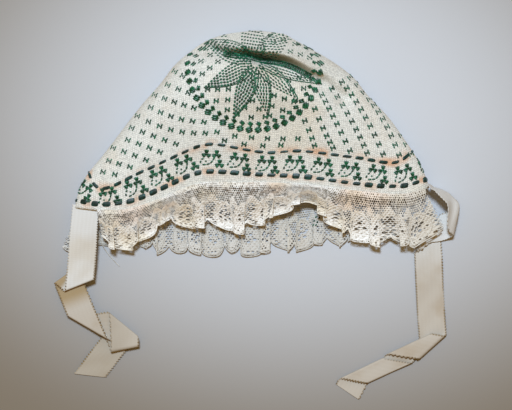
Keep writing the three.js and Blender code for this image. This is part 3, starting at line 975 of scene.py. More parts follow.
# %% Ticks of the petals
places, headings, lengths, widths = [], [], [], []
for tip_x, tip_y, half_width, solid_side, tick_width in PETALS:
    tip = np.array([tip_x, tip_y])
    length = np.linalg.norm(tip)
    forward = tip / length
    side = np.array([-forward[1], forward[0]])
    direction = math.degrees(math.atan2(tip_y, tip_x))
    for row_at in np.arange(PETAL_FOOT, length, ROW_STEP):
        half, flare = petal_edge(half_width, length, row_at)
        half += 0.2
        count = max(1, round(2 * half / TICK_STEP))
        for k in range(count):
            aside = (k + 0.5) / count * 2 - 1
            slip = 0.3 * aside * half
            places.append(STAR_CENTRE + forward * (row_at + slip) + side * aside * half)
            headings.append(direction + aside * flare - PETAL_LEAN)
            lengths.append(SPOT_TICK[0])
            widths.append(tick_width)
    for row_at in np.arange(EDGE_FOOT, length + 0.5, EDGE_STEP):
        half, flare = petal_edge(half_width, length, row_at)
        places.append(STAR_CENTRE + forward * row_at + side * solid_side * (half + 0.5))
        headings.append(direction + solid_side * flare)
        lengths.append(EDGE_TICK[0])
        widths.append(EDGE_TICK[1])
print("the petals have", len(places), "ticks")

# %% [markdown]
# ## The dark band in the crease
#
# Where the crown is pushed in, the fold squeezes several rows of the star's ticks into one dark
# band. Three rows along the foot of the crease stand for them. They belong to the star's mesh.

# %% Ticks along the crease, and the star as one mesh
CREASE_STEP = 0.95
CREASE_RISES = (0.5, 1.6, 2.7)  # mm above the foot of the crease
CREASE_TICK = (1.7, 1.0)

crease_x = np.arange(-17, 29, CREASE_STEP)
crease_y = read_table(CREASE, crease_x)[:, 0]
for rise in CREASE_RISES:
    places += list(np.column_stack([crease_x + 0.4 * rise, crease_y + rise]))
    headings += [60] * len(crease_x)
    lengths += [CREASE_TICK[0]] * len(crease_x)
    widths += [CREASE_TICK[1]] * len(crease_x)
star = make_ticks("star", places, headings, np.array(lengths), np.array(widths))

# %% [markdown]
# ## The wreath
#
# A ring of leaves circles the star and goes on over the crown fold. Each leaf pair has a big outer
# leaf and a smaller inner one, with a tick of stem between them.

# %% The line of the wreath
LEAF_STEP = 4.6
RING_CENTRE = np.array([-0.8, -16.7])
# direction in degrees from the wreath's middle, and how far out the ring is seen there in mm
RING = [
    (-203, 28.5),
    (-190, 32),
    (-178, 33.6),
    (-90, 33.8),
    (-10, 33.6),
    (5, 32.8),
    (15, 30),
    (26, 25),
]

fine = np.linspace(RING[0][0], RING[-1][0], 600)
radius = read_table(RING, fine)[:, 0]
outwards = np.stack([np.cos(np.radians(fine)), np.sin(np.radians(fine))], -1)
ring_line = RING_CENTRE + radius[:, None] * outwards
walked = np.concatenate([[0], np.cumsum(np.linalg.norm(np.diff(ring_line, axis=0), axis=1))])
stops = np.arange(0, walked[-1], LEAF_STEP)
ring_x = np.interp(stops, walked, ring_line[:, 0])
ring_y = np.interp(stops, walked, ring_line[:, 1])
print("the wreath is", round(walked[-1]), "mm long and has", len(stops), "leaf pairs")

# %% [markdown]
# ## Leaves of the wreath
#
# One leaf pair is drawn once as five long ticks, in a frame that looks outwards from the wreath's
# middle. It is then turned and laid down at every stop of the line.

# %% Leaves along that line
# offset outwards and onwards in mm, slant in degrees, length and width in mm of each tick
LEAF = [
    (0.8, -0.5, -60, 3.6, 1.3),
    (1.7, 0.0, -60, 4.2, 1.35),
    (2.6, 0.5, -60, 3.6, 1.3),
    (-1.1, 0.2, 58, 3.2, 1.15),
    (-1.95, 0.7, 58, 3.0, 1.15),
]
places, headings, lengths, widths = [], [], [], []
for x, y in zip(ring_x, ring_y):
    out = math.degrees(math.atan2(y - RING_CENTRE[1], x - RING_CENTRE[0]))
    for outward, onward, slant, tick_length, tick_width in LEAF:
        places.append(np.array([x, y]) + turn((outward, onward), out))
        headings.append(out + slant)
        lengths.append(tick_length)
        widths.append(tick_width)
wreath = make_ticks("wreath", places, headings, np.array(lengths), np.array(widths))

# %% [markdown]
# ## The border of sprigs
#
# Between the two ribbons a clover sprig repeats all the way round: three clover heads on a curling
# stem. The same small chart is laid down at even steps along the middle of the border.

# %% Chart of one sprig
CLOVERS = [(-2.3, 2.0), (3.0, 1.9), (4.7, -3.2)]
CLOVER_LEAVES = (88, 208, 328)  # where the three leaves of a head point, in degrees
LEAF_TICKS = (-0.68, 0, 0.68)  # how far aside the three ticks of a leaf lie, in mm
STEM_WIDTH = 0.95
# x, y in mm from the sprig's middle, slant in degrees, length of each stem tick
STEM = [
    (1.6, -0.4, 62, 2.2),
    (0.5, -2.2, 50, 2.2),
    (-1.2, -3.4, 20, 2.0),
    (-3.2, -3.8, 8, 2.0),
    (-5.2, -2.5, 75, 1.6),
    (-4.2, -0.8, 25, 1.5),
    (-2.4, -1.9, 15, 1.0),
]
chart = [(x, y, slant, length, STEM_WIDTH) for x, y, slant, length in STEM]
for cx, cy in CLOVERS:
    for direction in CLOVER_LEAVES:
        for aside in LEAF_TICKS:
            offset = turn((1.6 - 0.2 * abs(aside), aside), direction)
            chart.append((cx + offset[0], cy + offset[1], direction + 22 * aside, 2.1, 0.9))
    chart.append((cx, cy, 40, 1.5, 1.5))
print("one sprig has", len(chart), "ticks")

# %% [markdown]
# ## Laying the sprigs down
#
# The border bends with the open edge, so the chart can't be stamped from above. At each stop a
# small frame is built on the cloth, with one way along the border and one towards the crown, and
# every tick of the chart is carried from that frame to the nearest point of the knitting.

# %% Sprigs all round the border
SPRIGS = 26
GLANCE = 0.02  # the angle by which the next place along the border is found


def border_middle(angle):
    """Share of the cap's length halfway between the two ribbons."""
    return (thread_share(angle, 0) + thread_share(angle, 1)) / 2


sprig_angles, border_length = even_angles(border_middle, SPRIGS)
centres = cap_points(border_middle(sprig_angles), sprig_angles)
ahead = cap_points(border_middle(sprig_angles - GLANCE), sprig_angles - GLANCE)
points, normals, ways, lengths, widths = [], [], [], [], []
for centre, onward in zip(centres, ahead):
    right = (onward - centre) / np.linalg.norm(onward - centre)
    upward = np.cross(np.array(surface.find_nearest(Vector(centre))[1]), right)
    for x, y, slant, length, width in chart:
        hit, normal, _, _ = surface.find_nearest(Vector(centre + (right * x + upward * y) * MM))
        a = math.radians(slant)
        points.append(hit)
        normals.append(normal)
        ways.append(right * math.cos(a) + upward * math.sin(a))
        lengths.append(length)
        widths.append(width)
sprigs = ticks_at("sprigs", points, normals, ways, np.array(lengths), np.array(widths))
print("the border is", round(border_length, 3), "m round")

# %% [markdown]
# ## Spots on the under side
#
# The under side isn't in the picture. A plain repeat of the same spots carries on there, in
# columns that are staggered by half a step. Places outside the cap's own outline are left out.

# %% Spots on the brow side
COLUMNS, ROWS = 14, 12
COLUMN_STEP, SPOT_ROW_STEP = 5.9, 9.2
FIRST_ROW, LAST_ROW = 10, 66
# how far below the crown fold, and how far the cap reaches to each side there, in mm
BROW_OUTLINE = [(8, 20), (17, 36), (25, 46), (36, 55), (47, 65), (60, 76), (70, 84)]
BARE_MARGIN = 3

places, headings = [], []
for column in range(-COLUMNS, COLUMNS + 1):
    for row in range(ROWS):
        x = column * COLUMN_STEP
        down = FIRST_ROW + SPOT_ROW_STEP * (row + (0.5 if column % 2 else 0))
        if down > LAST_ROW or abs(x) > np.interp(down, *zip(*BROW_OUTLINE)) - BARE_MARGIN:
            continue
        more = spots([np.array([x, -down])], 0)
        places += more[0]
        headings += more[1]
lower_spots = make_ticks("spots_brow_side", places, headings, *SPOT_TICK, below=True)

# %% [markdown]
# ## Lace: finish
#
# Bobbin lace in ecru cotton: net in the upper part, dense scallops below. The threads are matt and
# slightly uneven in colour. Painted shade darkens the gaps between threads, the right end is darker
# and yellower, the seam has a little of the ribbons' rust, and what lies near the table is in the
# cap's own shade. Each of these is one Mix whose factor is read from the place on the cap.

# %% Ecru cotton thread
PALE_ECRU, DEEP_ECRU = (0.94, 0.925, 0.88, 1), (0.86, 0.79, 0.655, 1)
# the first colour is painted shade in the gaps between threads
GAP_SHADE, DARK_YELLOW = (0.38, 0.32, 0.235, 1), (0.55, 0.49, 0.39, 1)
RUSTY, SHADED = (0.85, 0.6, 0.42, 1), (0.5, 0.475, 0.425, 1)

lace = Shader("ecru_lace", Roughness=0.9, Specular_IOR_Level=0.2)
lace_tone = lace.noise(lace.place(), 70.0, 4.0).between(0.42, 0.72)
lace_colour = lace.mix(lace_tone, PALE_ECRU, DEEP_ECRU)
thread_grain = lace.noise(lace.place(), 850.0, 2.0, 0.6)
# painted shade in the gaps between threads
shade_between_threads = thread_grain.between(0.52, 0.64) * 0.6
lace_colour = lace.mix(shade_between_threads, lace_colour, GAP_SHADE)
height = lace.node("SeparateXYZ", inputs=[lace.place()], output=2)
to_right = lace.node("SeparateXYZ", inputs=[lace.place()], output=0)
# the right end is darker and yellower
right_end = to_right.between(55 * MM, 85 * MM) * 0.62
lace_colour = lace.mix(right_end, lace_colour, DARK_YELLOW)
patches = lace.noise(lace.place(), 40.0, 2.0).between(0.48, 0.68)
blush = patches * height.between(12 * MM, 15.5 * MM)
lace_colour = lace.mix(blush * 0.4, lace_colour, RUSTY)
near_table = height.between(5 * MM, 1.5 * MM) * 0.75
lace_colour = lace.mix(near_table, lace_colour, SHADED)
lace.set("Base Color", lace_colour)
lace.bump(thread_grain, 1.0, 0.5 * MM)
print("lace:", len(lace.tree.nodes), "nodes")

# %% [markdown]
# ## Lace: where the strip lies
#
# A long straight strip was gathered onto the shorter edge of the cap, so it ruffles more and more
# towards its scalloped side. The table of each frill says how far it reaches and how high its free
# edge lies.

# %% The two frills
LACE_DEPTH = 27 * MM
SEWN_AT = 0.99  # share of the cap's length where the lace is sewn on
SEAM_STAND_OFF = 0.3 * MM
# "up" is 1 for the upper side of the opening and -1 for the under side. "height", "sway" and
# "overhang" say how far the ruffles swing up, aside and over themselves, and "seed" shifts the
# small ones along. Each row has the place across, the reach (share of the depth), the height of
# the free edge and its drift in mm.
NAPE_FRILL = {
    "up": 1,
    "ruffles": 11,
    "height": 2.8 * MM,
    "sway": 2.4 * MM,
    "overhang": 1.6 * MM,
    "seed": 1.0,
    "rows": [
        (-0.865, 0.55, 6.4, 1),
        (-0.74, 0.82, 5.8, 1),
        (-0.64, 0.7, 5.6, 0),
        (-0.5, 0.5, 6.4, 0),
        (-0.34, 0.78, 5.6, 0),
        (-0.16, 0.92, 5.4, 0),
        (0, 0.92, 5.4, 0),
        (0.12, 0.66, 6.6, -1),
        (0.26, 0.4, 9, -1),
        (0.4, 0.5, 7.6, 0),
        (0.52, 0.9, 5.6, 0),
        (0.72, 1.0, 5.6, 2),
        (0.9, 1.02, 5.6, 3),
        (0.97, 0.86, 5.8, 8),
    ],
}
BROW_FRILL = {
    "up": -1,
    "ruffles": 10,
    "height": 1.5 * MM,
    "sway": 1.6 * MM,
    "overhang": 1.2 * MM,
    "seed": 2.0,
    "rows": [
        (-0.97, 0.88, 0.75, -12),
        (-0.8, 0.78, 0.75, -2),
        (-0.6, 0.92, 0.75, 0),
        (-0.3, 1.04, 0.75, 0),
        (0, 1.07, 0.75, 0),
        (0.3, 0.98, 0.75, 0),
        (0.55, 0.88, 0.75, 0),
        (0.84, 0.84, 0.75, 0),
    ],
}
print(len(NAPE_FRILL["rows"]), "rows for the near frill,", len(BROW_FRILL["rows"]), "for the far")

# %% [markdown]
# ## Lace: ruffles as a formula
#
# Gathered cloth could be simulated, but the picture shows where each ruffle lies, and an open
# mesh of thread would need a very fine simulation. Sums of sines do it: the waves start at
# nothing at the seam and grow towards the free edge, where they also lean over.

# %% A point of a frill


def frill_points(frill, share, depth, proud=0.0):
    """share: 0 to 1 along the strip. depth: 0 where it is sewn on, 1 at the free edge."""
    share, depth = np.broadcast_arrays(np.asarray(share, float), np.asarray(depth, float))
    first, last = frill["rows"][0][0], frill["rows"][-1][0]
    across = first + (last - first) * share
    angle = frill["up"] * np.arccos(np.clip(across, -1, 1))
    head = cap_points(SEWN_AT, angle, -SEAM_STAND_OFF)
    hem = cap_points(1.0, angle, -SEAM_STAND_OFF)
    reach, height, drift = np.moveaxis(read_table(frill["rows"], across), -1, 0)
    reach = reach + 0.05 * np.sin(2 * np.pi * 7.3 * share + frill["seed"])
    # big ruffles of uneven width, small ones on them, and a slow change in how full both are
    phase = 2 * np.pi * (frill["ruffles"] * share + 0.3 * np.sin(9 * share))
    small = 2 * np.pi * (2.3 * frill["ruffles"] * share + 0.4 * np.sin(5 * share + frill["seed"]))
    fresh = 0.75 + 0.4 * np.sin(2 * np.pi * 3.3 * share + frill["seed"])
    wave = smoothstep(depth) * (0.6 + 0.4 * fresh)
    fine = smoothstep(depth) * 0.4
    sway = frill["sway"] * (wave * np.sin(phase) + fine * np.sin(small))
    sway = sway + frill["overhang"] * wave * np.sin(2 * phase)
    x = head[..., 0] + drift * MM * depth + sway
    y = head[..., 1] - (head[..., 1] - hem[..., 1] + reach * LACE_DEPTH) * depth
    sag = smoothstep(depth, 0.04, 0.95)
    z = head[..., 2] * (1 - sag) + height * MM * sag
    z = z + frill["height"] / 2 * (wave * (1 - np.cos(phase)) + fine * (1 - np.cos(small)))
    return np.stack([x, y, z + proud], axis=-1)


edge = frill_points(NAPE_FRILL, np.linspace(0, 1, 200), 1.0)
print("the near frill's free edge swings", round(np.ptp(edge[:, 2]) / MM, 1), "mm up and down")

# %% [markdown]
# ## Lace: the mesh
#
# The strip is drawn as a fine honeycomb on the flat. Each cell gets a hole whose size tells what it
# is: wide in the net, tiny in the dense scallops, none along the edge, and a cluster of big ones
# for the open eyes of the motifs. The flat honeycomb is then laid into the ruffles. Real holes cast
# real shadows, which a painted texture would not.

# %% Sizes of the cells, the scallops and their motifs
CELL = 1.3 * MM
ROW_PITCH = 0.866 * CELL  # rows of a honeycomb lie this far apart
SCALLOP = 10 * CELL
NOTCH = 6.2 * MM  # how deep the cut between two scallops is
MOTIF_UP = 8.2 * MM  # how far above the free edge the middle of each motif lies
LEAF_HALF = (4.6, 7.4)  # half width and half height of the leaf, in mm
EYE = 0.94  # share of a cell that is open in the eyes of a motif
PETAL_AT, PETAL_HALF = (5.4, 8.8), (1.7, 3.2)  # place and half sizes of the petals above a leaf
SOLID_EDGE = 1.3 * MM
EDGE_HOLES = (1.4 * MM, 2.7 * MM)  # how far from the free edge the broken row of holes lies
# middles of the open eyes of a leaf and of a flower, across and up in mm from the motif's middle
LEAF_EYES = [
    (0, 0.2),
    (0, 2.7),
    (0, -2.3),
    (1.9, 1.4),
    (-1.9, 1.4),
    (1.9, -1.2),
    (-1.9, -1.2),
    (0, 5.0),
]
FLOWER_EYES = [(0, -1.6), (2.1, -0.3), (-2.1, -0.3), (1.3, 2.2), (-1.3, 2.2)]


def scallop_edge(u):
    """Depth of the free edge along the flat strip."""
    lobe = 2 * ((u / SCALLOP) % 1) - 1
    return LACE_DEPTH - NOTCH * (1 - np.sqrt(np.maximum(0, 1 - 0.96 * lobe**2)))


print("a scallop is", round(SCALLOP / MM, 1), "mm wide, with", len(LEAF_EYES), "eyes in its leaf")

# %% [markdown]
# ## Lace: what each cell is
#
# The hole of a cell is decided in layers, from the plainest to the most special: the net, then
# the leaf with its outline and veins, the petals above it, the open eyes, and at last the edge.
# Each layer covers the ones before it, as with paint.

# %% What each cell of the lace is


def oval(x, y, half_width, half_height, lean=0.0):
    """1 on the outline of an oval, less inside it. Sizes in mm."""
    x = x - lean * y
    return np.sqrt((x / (half_width * MM)) ** 2 + (y / (half_height * MM)) ** 2)


def hole_size(u, v, dice):
    """Share of a cell that is open: 0 is solid cloth."""
    number = np.floor(u / SCALLOP)
    x = (u / SCALLOP - number - 0.5) * SCALLOP
    edge = scallop_edge(u) - v
    y = LACE_DEPTH - MOTIF_UP - v
    # net, closer beside the seam
    size = 0.4 + 0.34 * smoothstep(v, 1.5 * MM, 3.5 * MM) + 0.44 * (dice - 0.5)
    # the cloth of the leaf, its outline, its two veins and the petals above it
    leaf = oval(x, y, *LEAF_HALF)
    size = np.where(leaf < 1.0, 0.34 + 0.36 * (dice - 0.5), size)
    size = np.where((leaf > 0.8) & (leaf < 1.12), 0.1, size)
    vein = abs(abs(x) - 0.45 * (y + 6 * MM)) < 0.75 * MM
    size = np.where((leaf < 0.9) & vein & (y > -5 * MM), 0.12, size)
    for side in (-1, 1):
        beside, above = x - side * PETAL_AT[0] * MM, y - PETAL_AT[1] * MM
        petal = oval(beside, above, *PETAL_HALF, lean=0.5 * side)
        size = np.where(petal < 1.0, 0.3, size)
    for eyes, which in ((LEAF_EYES, 0), (FLOWER_EYES, 1)):
        for ex, ey in eyes:
            near = np.hypot(x - ex * MM, y - ey * MM) < 0.6 * CELL
            size = np.where(near & (number % 2 == which), EYE, size)
    # a broken row of holes inside the solid edge
    in_row = (edge > EDGE_HOLES[0]) & (edge < EDGE_HOLES[1])
    size = np.where(in_row & (dice > 0.45), 0.6, size)
    return np.where(edge < SOLID_EDGE, 0.0, size)


down = np.linspace(0, LACE_DEPTH, 8)
middle_line = hole_size(np.full(8, SCALLOP / 2), down, np.full(8, 0.5))
print("openness down the middle of a scallop:", middle_line.round(2))

# %% [markdown]
# ## Lace: the honeycomb
#
# Six-sided cells look more like bobbin net than squares do, and meet three at a corner, so no
# corner is a weak point. Every other row is set over by half a cell. Cells share their corners,
# which keeps the strip in one piece.

# %% Cells of a flat strip
SAME_PLACE = 0.05  # corners this share of a cell apart are one corner


def honeycomb(length, keep):
    """Centres and corner numbers of the cells of a flat strip, and its corner places."""
    columns = int(round(length / CELL))
    rows = int(LACE_DEPTH / ROW_PITCH) + 2
    i, j = np.meshgrid(np.arange(columns), np.arange(rows))
    u = (i + 0.5 * (j % 2) + 0.25) * CELL
    v = j * ROW_PITCH
    centres = np.stack([u.ravel(), v.ravel()], -1)
    centres = centres[keep(centres[:, 0], centres[:, 1])]
    turns = np.radians(60 * np.arange(6) + 30)
    corners = centres[:, None] + CELL / math.sqrt(3) * np.stack([np.cos(turns), np.sin(turns)], -1)
    whole = np.round(corners.reshape(-1, 2) / (CELL * SAME_PLACE)).astype(int)
    _, first, number = np.unique(whole, axis=0, return_index=True, return_inverse=True)
    return centres, number.reshape(-1, 6), corners.reshape(-1, 2)[first]


print("one scallop has", len(honeycomb(SCALLOP, lambda u, v: v < scallop_edge(u))[0]), "cells")

# %% [markdown]
# ## Lace: building a frill
#
# Each cell with a hole becomes six quads round a smaller hexagon, and each solid cell stays one
# hexagon. The corners are shaken a little, because threads never lie in a perfect grid. A
# Solidify modifier gives the mesh the thickness of a thread.

# %% Build the near frill
THREAD = 0.3 * MM
SHAKE = 0.07 * MM
SMALLEST_HOLE = 0.06
EDGE_MARGIN = 0.3 * MM  # cells whose middle is closer to the free edge are left out
NAPE_LENGTH = 17 * SCALLOP


def lace_frill(name, frill, length, seed):
    """The gathered mesh of one frill. seed sets its small irregularities."""
    dice = np.random.default_rng(seed)

    def inside(u, v):
        return v < scallop_edge(u) - EDGE_MARGIN

    centres, numbers, corners = honeycomb(length, inside)
    size = hole_size(centres[:, 0], centres[:, 1], dice.random(len(centres)))
    corners = corners + dice.uniform(-1, 1, corners.shape) * SHAKE
    corners[:, 1] = np.clip(corners[:, 1], 0, scallop_edge(corners[:, 0]))
    faces, inner = [], []
    for cell, opening in enumerate(size):
        ring = numbers[cell]
        if opening < SMALLEST_HOLE:
            faces.append(ring)
            continue
        start = len(corners) + len(inner)
        middle = corners[ring].mean(0)
        inner.extend(middle + (corners[ring] - middle) * opening)
        for k in range(6):
            n = (k + 1) % 6
            faces.append((ring[k], ring[n], start + n, start + k))
    flat = np.vstack([corners, np.array(inner)])
    placed = frill_points(frill, np.clip(flat[:, 0] / length, 0, 1), flat[:, 1] / LACE_DEPTH)
    piece = make_object(name, placed, faces, lace.material)
    thread = piece.modifiers.new("thread thickness", "SOLIDIFY")
    thread.thickness = THREAD
    thread.offset = 0
    print(name, "has", len(centres), "cells and", len(faces), "faces")
    return piece


nape_lace = lace_frill("nape_lace", NAPE_FRILL, NAPE_LENGTH, seed=4)

# %% [markdown]
# ## Lace: cords along the edge and round the leaves
#
# Real lace has a thicker thread that outlines its edge and its motifs. It could be a curve with a
# bevel, but a curve would have to be turned into a mesh in the end. A tube swept along points of
# the same ruffle formula lies on the lace everywhere.

# %% Cords of the near frill
EDGE_CORD, LEAF_CORD = 0.3 * MM, 0.17 * MM  # radii
CORD_SEAT = 0.25 * MM
CORD_END, CORD_STEP = 0.3 * MM, 0.55 * MM
LEAF_STEPS = 28


def tube(line, radius, sides=5):
    """Points and faces of a cord along a line of points."""
    line = np.asarray(line, float)
    way = np.gradient(line, axis=0)
    way /= np.linalg.norm(way, axis=1, keepdims=True) + 1e-12
    side = np.cross(way, [0, 0, 1.0])
    side /= np.linalg.norm(side, axis=1, keepdims=True) + 1e-9
    up = np.cross(side, way)
    turns = 2 * np.pi * np.arange(sides) / sides
    cosine, sine = np.cos(turns)[None, :, None], np.sin(turns)[None, :, None]
    rounds = side[:, None] * cosine + up[:, None] * sine
    points = (line[:, None] + radius * rounds).reshape(-1, 3)
    return points, grid_faces(len(line), sides, ring=True)


def edge_cords(name, frill, length):
    """The thicker cord that outlines the scallops and the leaves above them."""
    u = np.arange(CORD_END, length - CORD_END, CORD_STEP)
    lines = [(u, scallop_edge(u), EDGE_CORD)]
    turns = np.linspace(0, 2 * np.pi, LEAF_STEPS)
    middle = LACE_DEPTH - MOTIF_UP
    for number in range(int(round(length / SCALLOP))):
        at = (number + 0.5) * SCALLOP
        across = LEAF_HALF[0] * MM * np.cos(turns)
        up = LEAF_HALF[1] * MM * np.sin(turns)
        lines.append((at + across, middle - up, LEAF_CORD))
    points, faces, total = [], [], 0
    for u, v, radius in lines:
        v = np.minimum(v, scallop_edge(u))
        line = frill_points(frill, np.clip(u / length, 0, 1), v / LACE_DEPTH, CORD_SEAT)
        more, quads = tube(line, radius, 4)
        points.append(more)
        faces.append(quads + total)
        total += len(more)
    print(name, "has", len(lines), "cords")
    return make_object(name, np.vstack(points), np.vstack(faces), lace.material)


nape_cords = edge_cords("nape_lace_cords", NAPE_FRILL, NAPE_LENGTH)

# %% [markdown]
# ## Lace: the far frill
#
# The frill of the brow side is the same lace, sewn to the longer edge. The two functions above
# make it from its own table, and other random numbers give its threads other irregularities.

# %% Build the far frill and its cords
BROW_LENGTH = 18 * SCALLOP

brow_lace = lace_frill("brow_lace", BROW_FRILL, BROW_LENGTH, seed=9)
brow_cords = edge_cords("brow_lace_cords", BROW_FRILL, BROW_LENGTH)

# %% [markdown]
# ## Ribbon ties: finish
#
# Narrow ivory silk ribbon with a fine crosswise rib and a picot edge of tiny loops. Painted shade
# greys it towards its loose ends and darkens the left tie's end. A painted shadow lies brown past
# the left tie's first fold, and the loops of its edges have gone brown. The flat map holds the
# distance along the ribbon and the place across it, from -1 to 1, so each mark keeps to its stretch
# of ribbon however that is folded.

# %% Ivory ribbon
PICOT = 1.5 * MM  # from one loop of the edge to the next
RIB = 1.1 * MM
IVORY, DEEP_IVORY = (0.655, 0.645, 0.615, 1), (0.6, 0.56, 0.49, 1)
# colours of the ribbon in painted shade
SHADED_IVORY, DEEP_SHADED_IVORY = (0.48, 0.43, 0.36, 1), (0.42, 0.35, 0.265, 1)
# painted shade for the left tie's end, and a painted shadow past its first fold
CORNER_SHADE, FOLD_SHADOW = (0.3, 0.25, 0.175, 1), (0.3, 0.19, 0.055, 1)
WORN, LOOP_DIRT = (0.36, 0.3, 0.22, 1), (0.2, 0.13, 0.05, 1)

ivory = Shader("ivory_ribbon", Roughness=0.7, Specular_IOR_Level=0.3)
ribbon_along, ribbon_across = ivory.flat()
rib = (ribbon_along * (2 * math.pi / RIB)).sine()
ivory_tone = ivory.noise(ivory.place(), 50.0, 3.0).between(0.42, 0.72)
fresh = ivory.mix(ivory_tone, IVORY, DEEP_IVORY)
shaded_tone = ivory.mix(ivory_tone, SHADED_IVORY, DEEP_SHADED_IVORY)
# painted shade: the ribbon darkens along its length towards its loose ends
ivory_colour = ivory.mix(ribbon_along.between(28 * MM, 75 * MM), fresh, shaded_tone)
to_left = ivory.node("SeparateXYZ", inputs=[ivory.place()], output=0)
left_tie_only = to_left.between(-60 * MM, -80 * MM)
# painted shade darkens the end of the left tie
corner_shade_mask = left_tie_only * ribbon_along.between(60 * MM, 120 * MM)
ivory_colour = ivory.mix(corner_shade_mask * 0.5, ivory_colour, CORNER_SHADE)
# painted shadow on the stretch just past the left tie's first fold
shadow_past_fold = ribbon_along.between(43.5 * MM, 46.5 * MM) * ribbon_along.between(68 * MM, 58.5 * MM)
ivory_colour = ivory.mix(shadow_past_fold * left_tie_only * 0.8, ivory_colour, FOLD_SHADOW)
drift = ivory.noise(ivory.place(), 60.0)
streak = (ribbon_across * 21.0 + drift * 9.0).sine()
worn = rib.between(-1.0, 1.0, 0.03, 0.0) + streak.between(-1.0, 1.0, 0.0, 0.05)
ivory_colour = ivory.mix(worn, ivory_colour, WORN)
loop = (ribbon_along * (2 * math.pi / PICOT)).sine().between(-0.6, 0.8, 0.25, 1.0)
dirty = drift.between(0.36, 0.54) * ribbon_along.between(12 * MM, 40 * MM)
worn_edge = ribbon_across.size().between(0.9, 0.97) * loop * dirty
ivory_colour = ivory.mix(worn_edge, ivory_colour, LOOP_DIRT)
ivory.set("Base Color", ivory_colour)
ivory.bump(rib * 0.4 + streak * 0.6, 0.15, 0.12 * MM)
print("ribbon:", len(ivory.tree.nodes), "nodes")

# %% [markdown]
# ## Ribbon ties: how they fall
#
# A ribbon bends easily along its length but not in its own plane, so to change direction it folds
# over. Each row of the table is one run: its length, its heading, and whether the next run lies on
# top or underneath. The ribbon is rolled round each fold line, which keeps its length true.

# %% Runs of the two ties
TIE_WIDTH = 14.2 * MM
TIE_WALL = 1 * MM
FOLD_RADIUS = 0.7 * MM
TIE_REST = 0.05 * MM
# "across" and "off" (mm) say where a tie comes out from under the hem, and "start" how high, in
# mm. There it leans by "tilt" degrees about one edge ("hinge" 1 or -1) or its middle (0), and
# comes flat between the two shares of its first run in "easing". "cut" is the slant of its end.
# Each row is one run: length in mm, heading in degrees, 1 where the next run lies on top or -1
# where it lies underneath (more for a looser roll), and how far it falls on the way, in mm.
LEFT_TIE = {
    "across": -0.9,
    "off": (-3.8, -1.9),
    "start": 10.2,
    "tilt": 14,
    "easing": (0, 0.9),
    "hinge": 0,
    "cut": -0.6,
    "rows": [
        (38.5, -95.5, -1, 0),
        (9.5, 139, -1, 0),
        (31, -68, -1, 0),
        (19, 8, 1, 0),
        (14.5, -87, -2, 0),
        (8, 110, -1, 0),
        (26.5, -128, 0, 0),
    ],
}
RIGHT_TIE = {
    "across": 0.985,
    "off": (1.3, -0.9),
    "start": 1.2,
    "tilt": -68,
    "easing": (0.45, 1.1),
    "hinge": 1,
    "cut": 0.1,
    "rows": [
        (23.8, -45, -4, 0),
        (18, -160, -1, 0),
        (60.5, -86.5, 2, 0),
        (13.8, 170.5, -1, 0),
        (18.3, -120.5, 1, 1.4),
        (15.9, 169.5, -1, 0),
        (14.8, -118.5, 0, 0),
    ],
}
print("runs:", len(LEFT_TIE["rows"]), "in the left tie,", len(RIGHT_TIE["rows"]), "in the right")

# %% [markdown]
# ## Ribbon ties: from headings to fold lines
#
# Where a run ends and the next begins, the fold line lies halfway between the two headings, as
# with any strip of paper. The level of each run is counted in rolls of the fold, so that the
# lowest run of a tie just rests on the table.

# %% Work out the runs of a tie


def tie_runs(tie):
    """Where each run starts, ends and folds on the flat, and how high it lies."""
    level = lowest = 0.0
    for _, _, side_up, fall in tie["rows"]:
        level += side_up - fall * MM / (2 * FOLD_RADIUS)
        lowest = min(lowest, level)
    head = cap_points(1.0, math.acos(tie["across"]), KNIT_WALL / 2)
    place = head[:2] + np.array(tie["off"]) * MM
    level = TIE_REST + TIE_WALL / 2 - 2 * FOLD_RADIUS * lowest
    walked, side, runs = 0.0, 1, []
    for k, (run, heading, turned, fall) in enumerate(tie["rows"]):
        way = np.array([math.cos(math.radians(heading)), math.sin(math.radians(heading))])
        onward = tie["rows"][k + 1][1] if k + 1 < len(tie["rows"]) else heading + 180
        line = math.radians((heading + onward) / 2)
        fold = np.array([math.cos(line), math.sin(line)])
        normal = np.array([-fold[1], fold[0]])
        normal = normal if normal @ way > 0 else -normal
        left = np.array([-way[1], way[0]]) * side
        here = {"from": place, "begin": walked, "way": way, "left": left, "fold": fold}
        walked += run * MM
        place = place + way * run * MM
        here.update(to=place, end=walked, normal=normal, turn=turned, fall=fall * MM, level=level)
        here["shear"] = (fold @ way) / (fold @ left)
        runs.append(here)
        level += 2 * FOLD_RADIUS * turned - fall * MM
        side = -side
    return runs


print("the left tie's runs lie at", [round(run["level"] / MM, 1) for run in tie_runs(LEFT_TIE)])

# %% [markdown]
# ## Rolling the ribbon over its fold lines
#
# A fold could be a sharp crease, but silk ribbon turns in a small roll. A point of the ribbon that
# is past the fold line is wound round a cylinder on that line, and comes out on the other side,
# above or below.

# %% Roll the ribbon over one fold line
BEFORE_ALL = -1e9  # for the last run, which has no fold


def on_run(run, s, w):
    """Plan place and height of ribbon points on one run, and how far past its fold they are."""
    plan = run["from"] + np.outer(s - run["begin"], run["way"]) + np.outer(w, run["left"])
    length = run["end"] - run["begin"]
    sunk = run["fall"] * np.clip(s - run["begin"], 0, length) / length
    radius = FOLD_RADIUS * abs(run["turn"])
    if not run["turn"]:
        return plan, run["level"] - sunk, np.full(len(s), BEFORE_ALL)
    past = (plan - run["to"]) @ run["normal"]
    arc = math.pi / 2 * radius
    turned = np.clip((past + arc) / radius, 0, math.pi)
    out = np.where(past <= -arc, past, -arc + radius * np.sin(turned) - np.maximum(0, past - arc))
    plan = plan + np.outer(out - past, run["normal"])
    return plan, run["level"] - sunk + np.sign(run["turn"]) * radius * (1 - np.cos(turned)), past


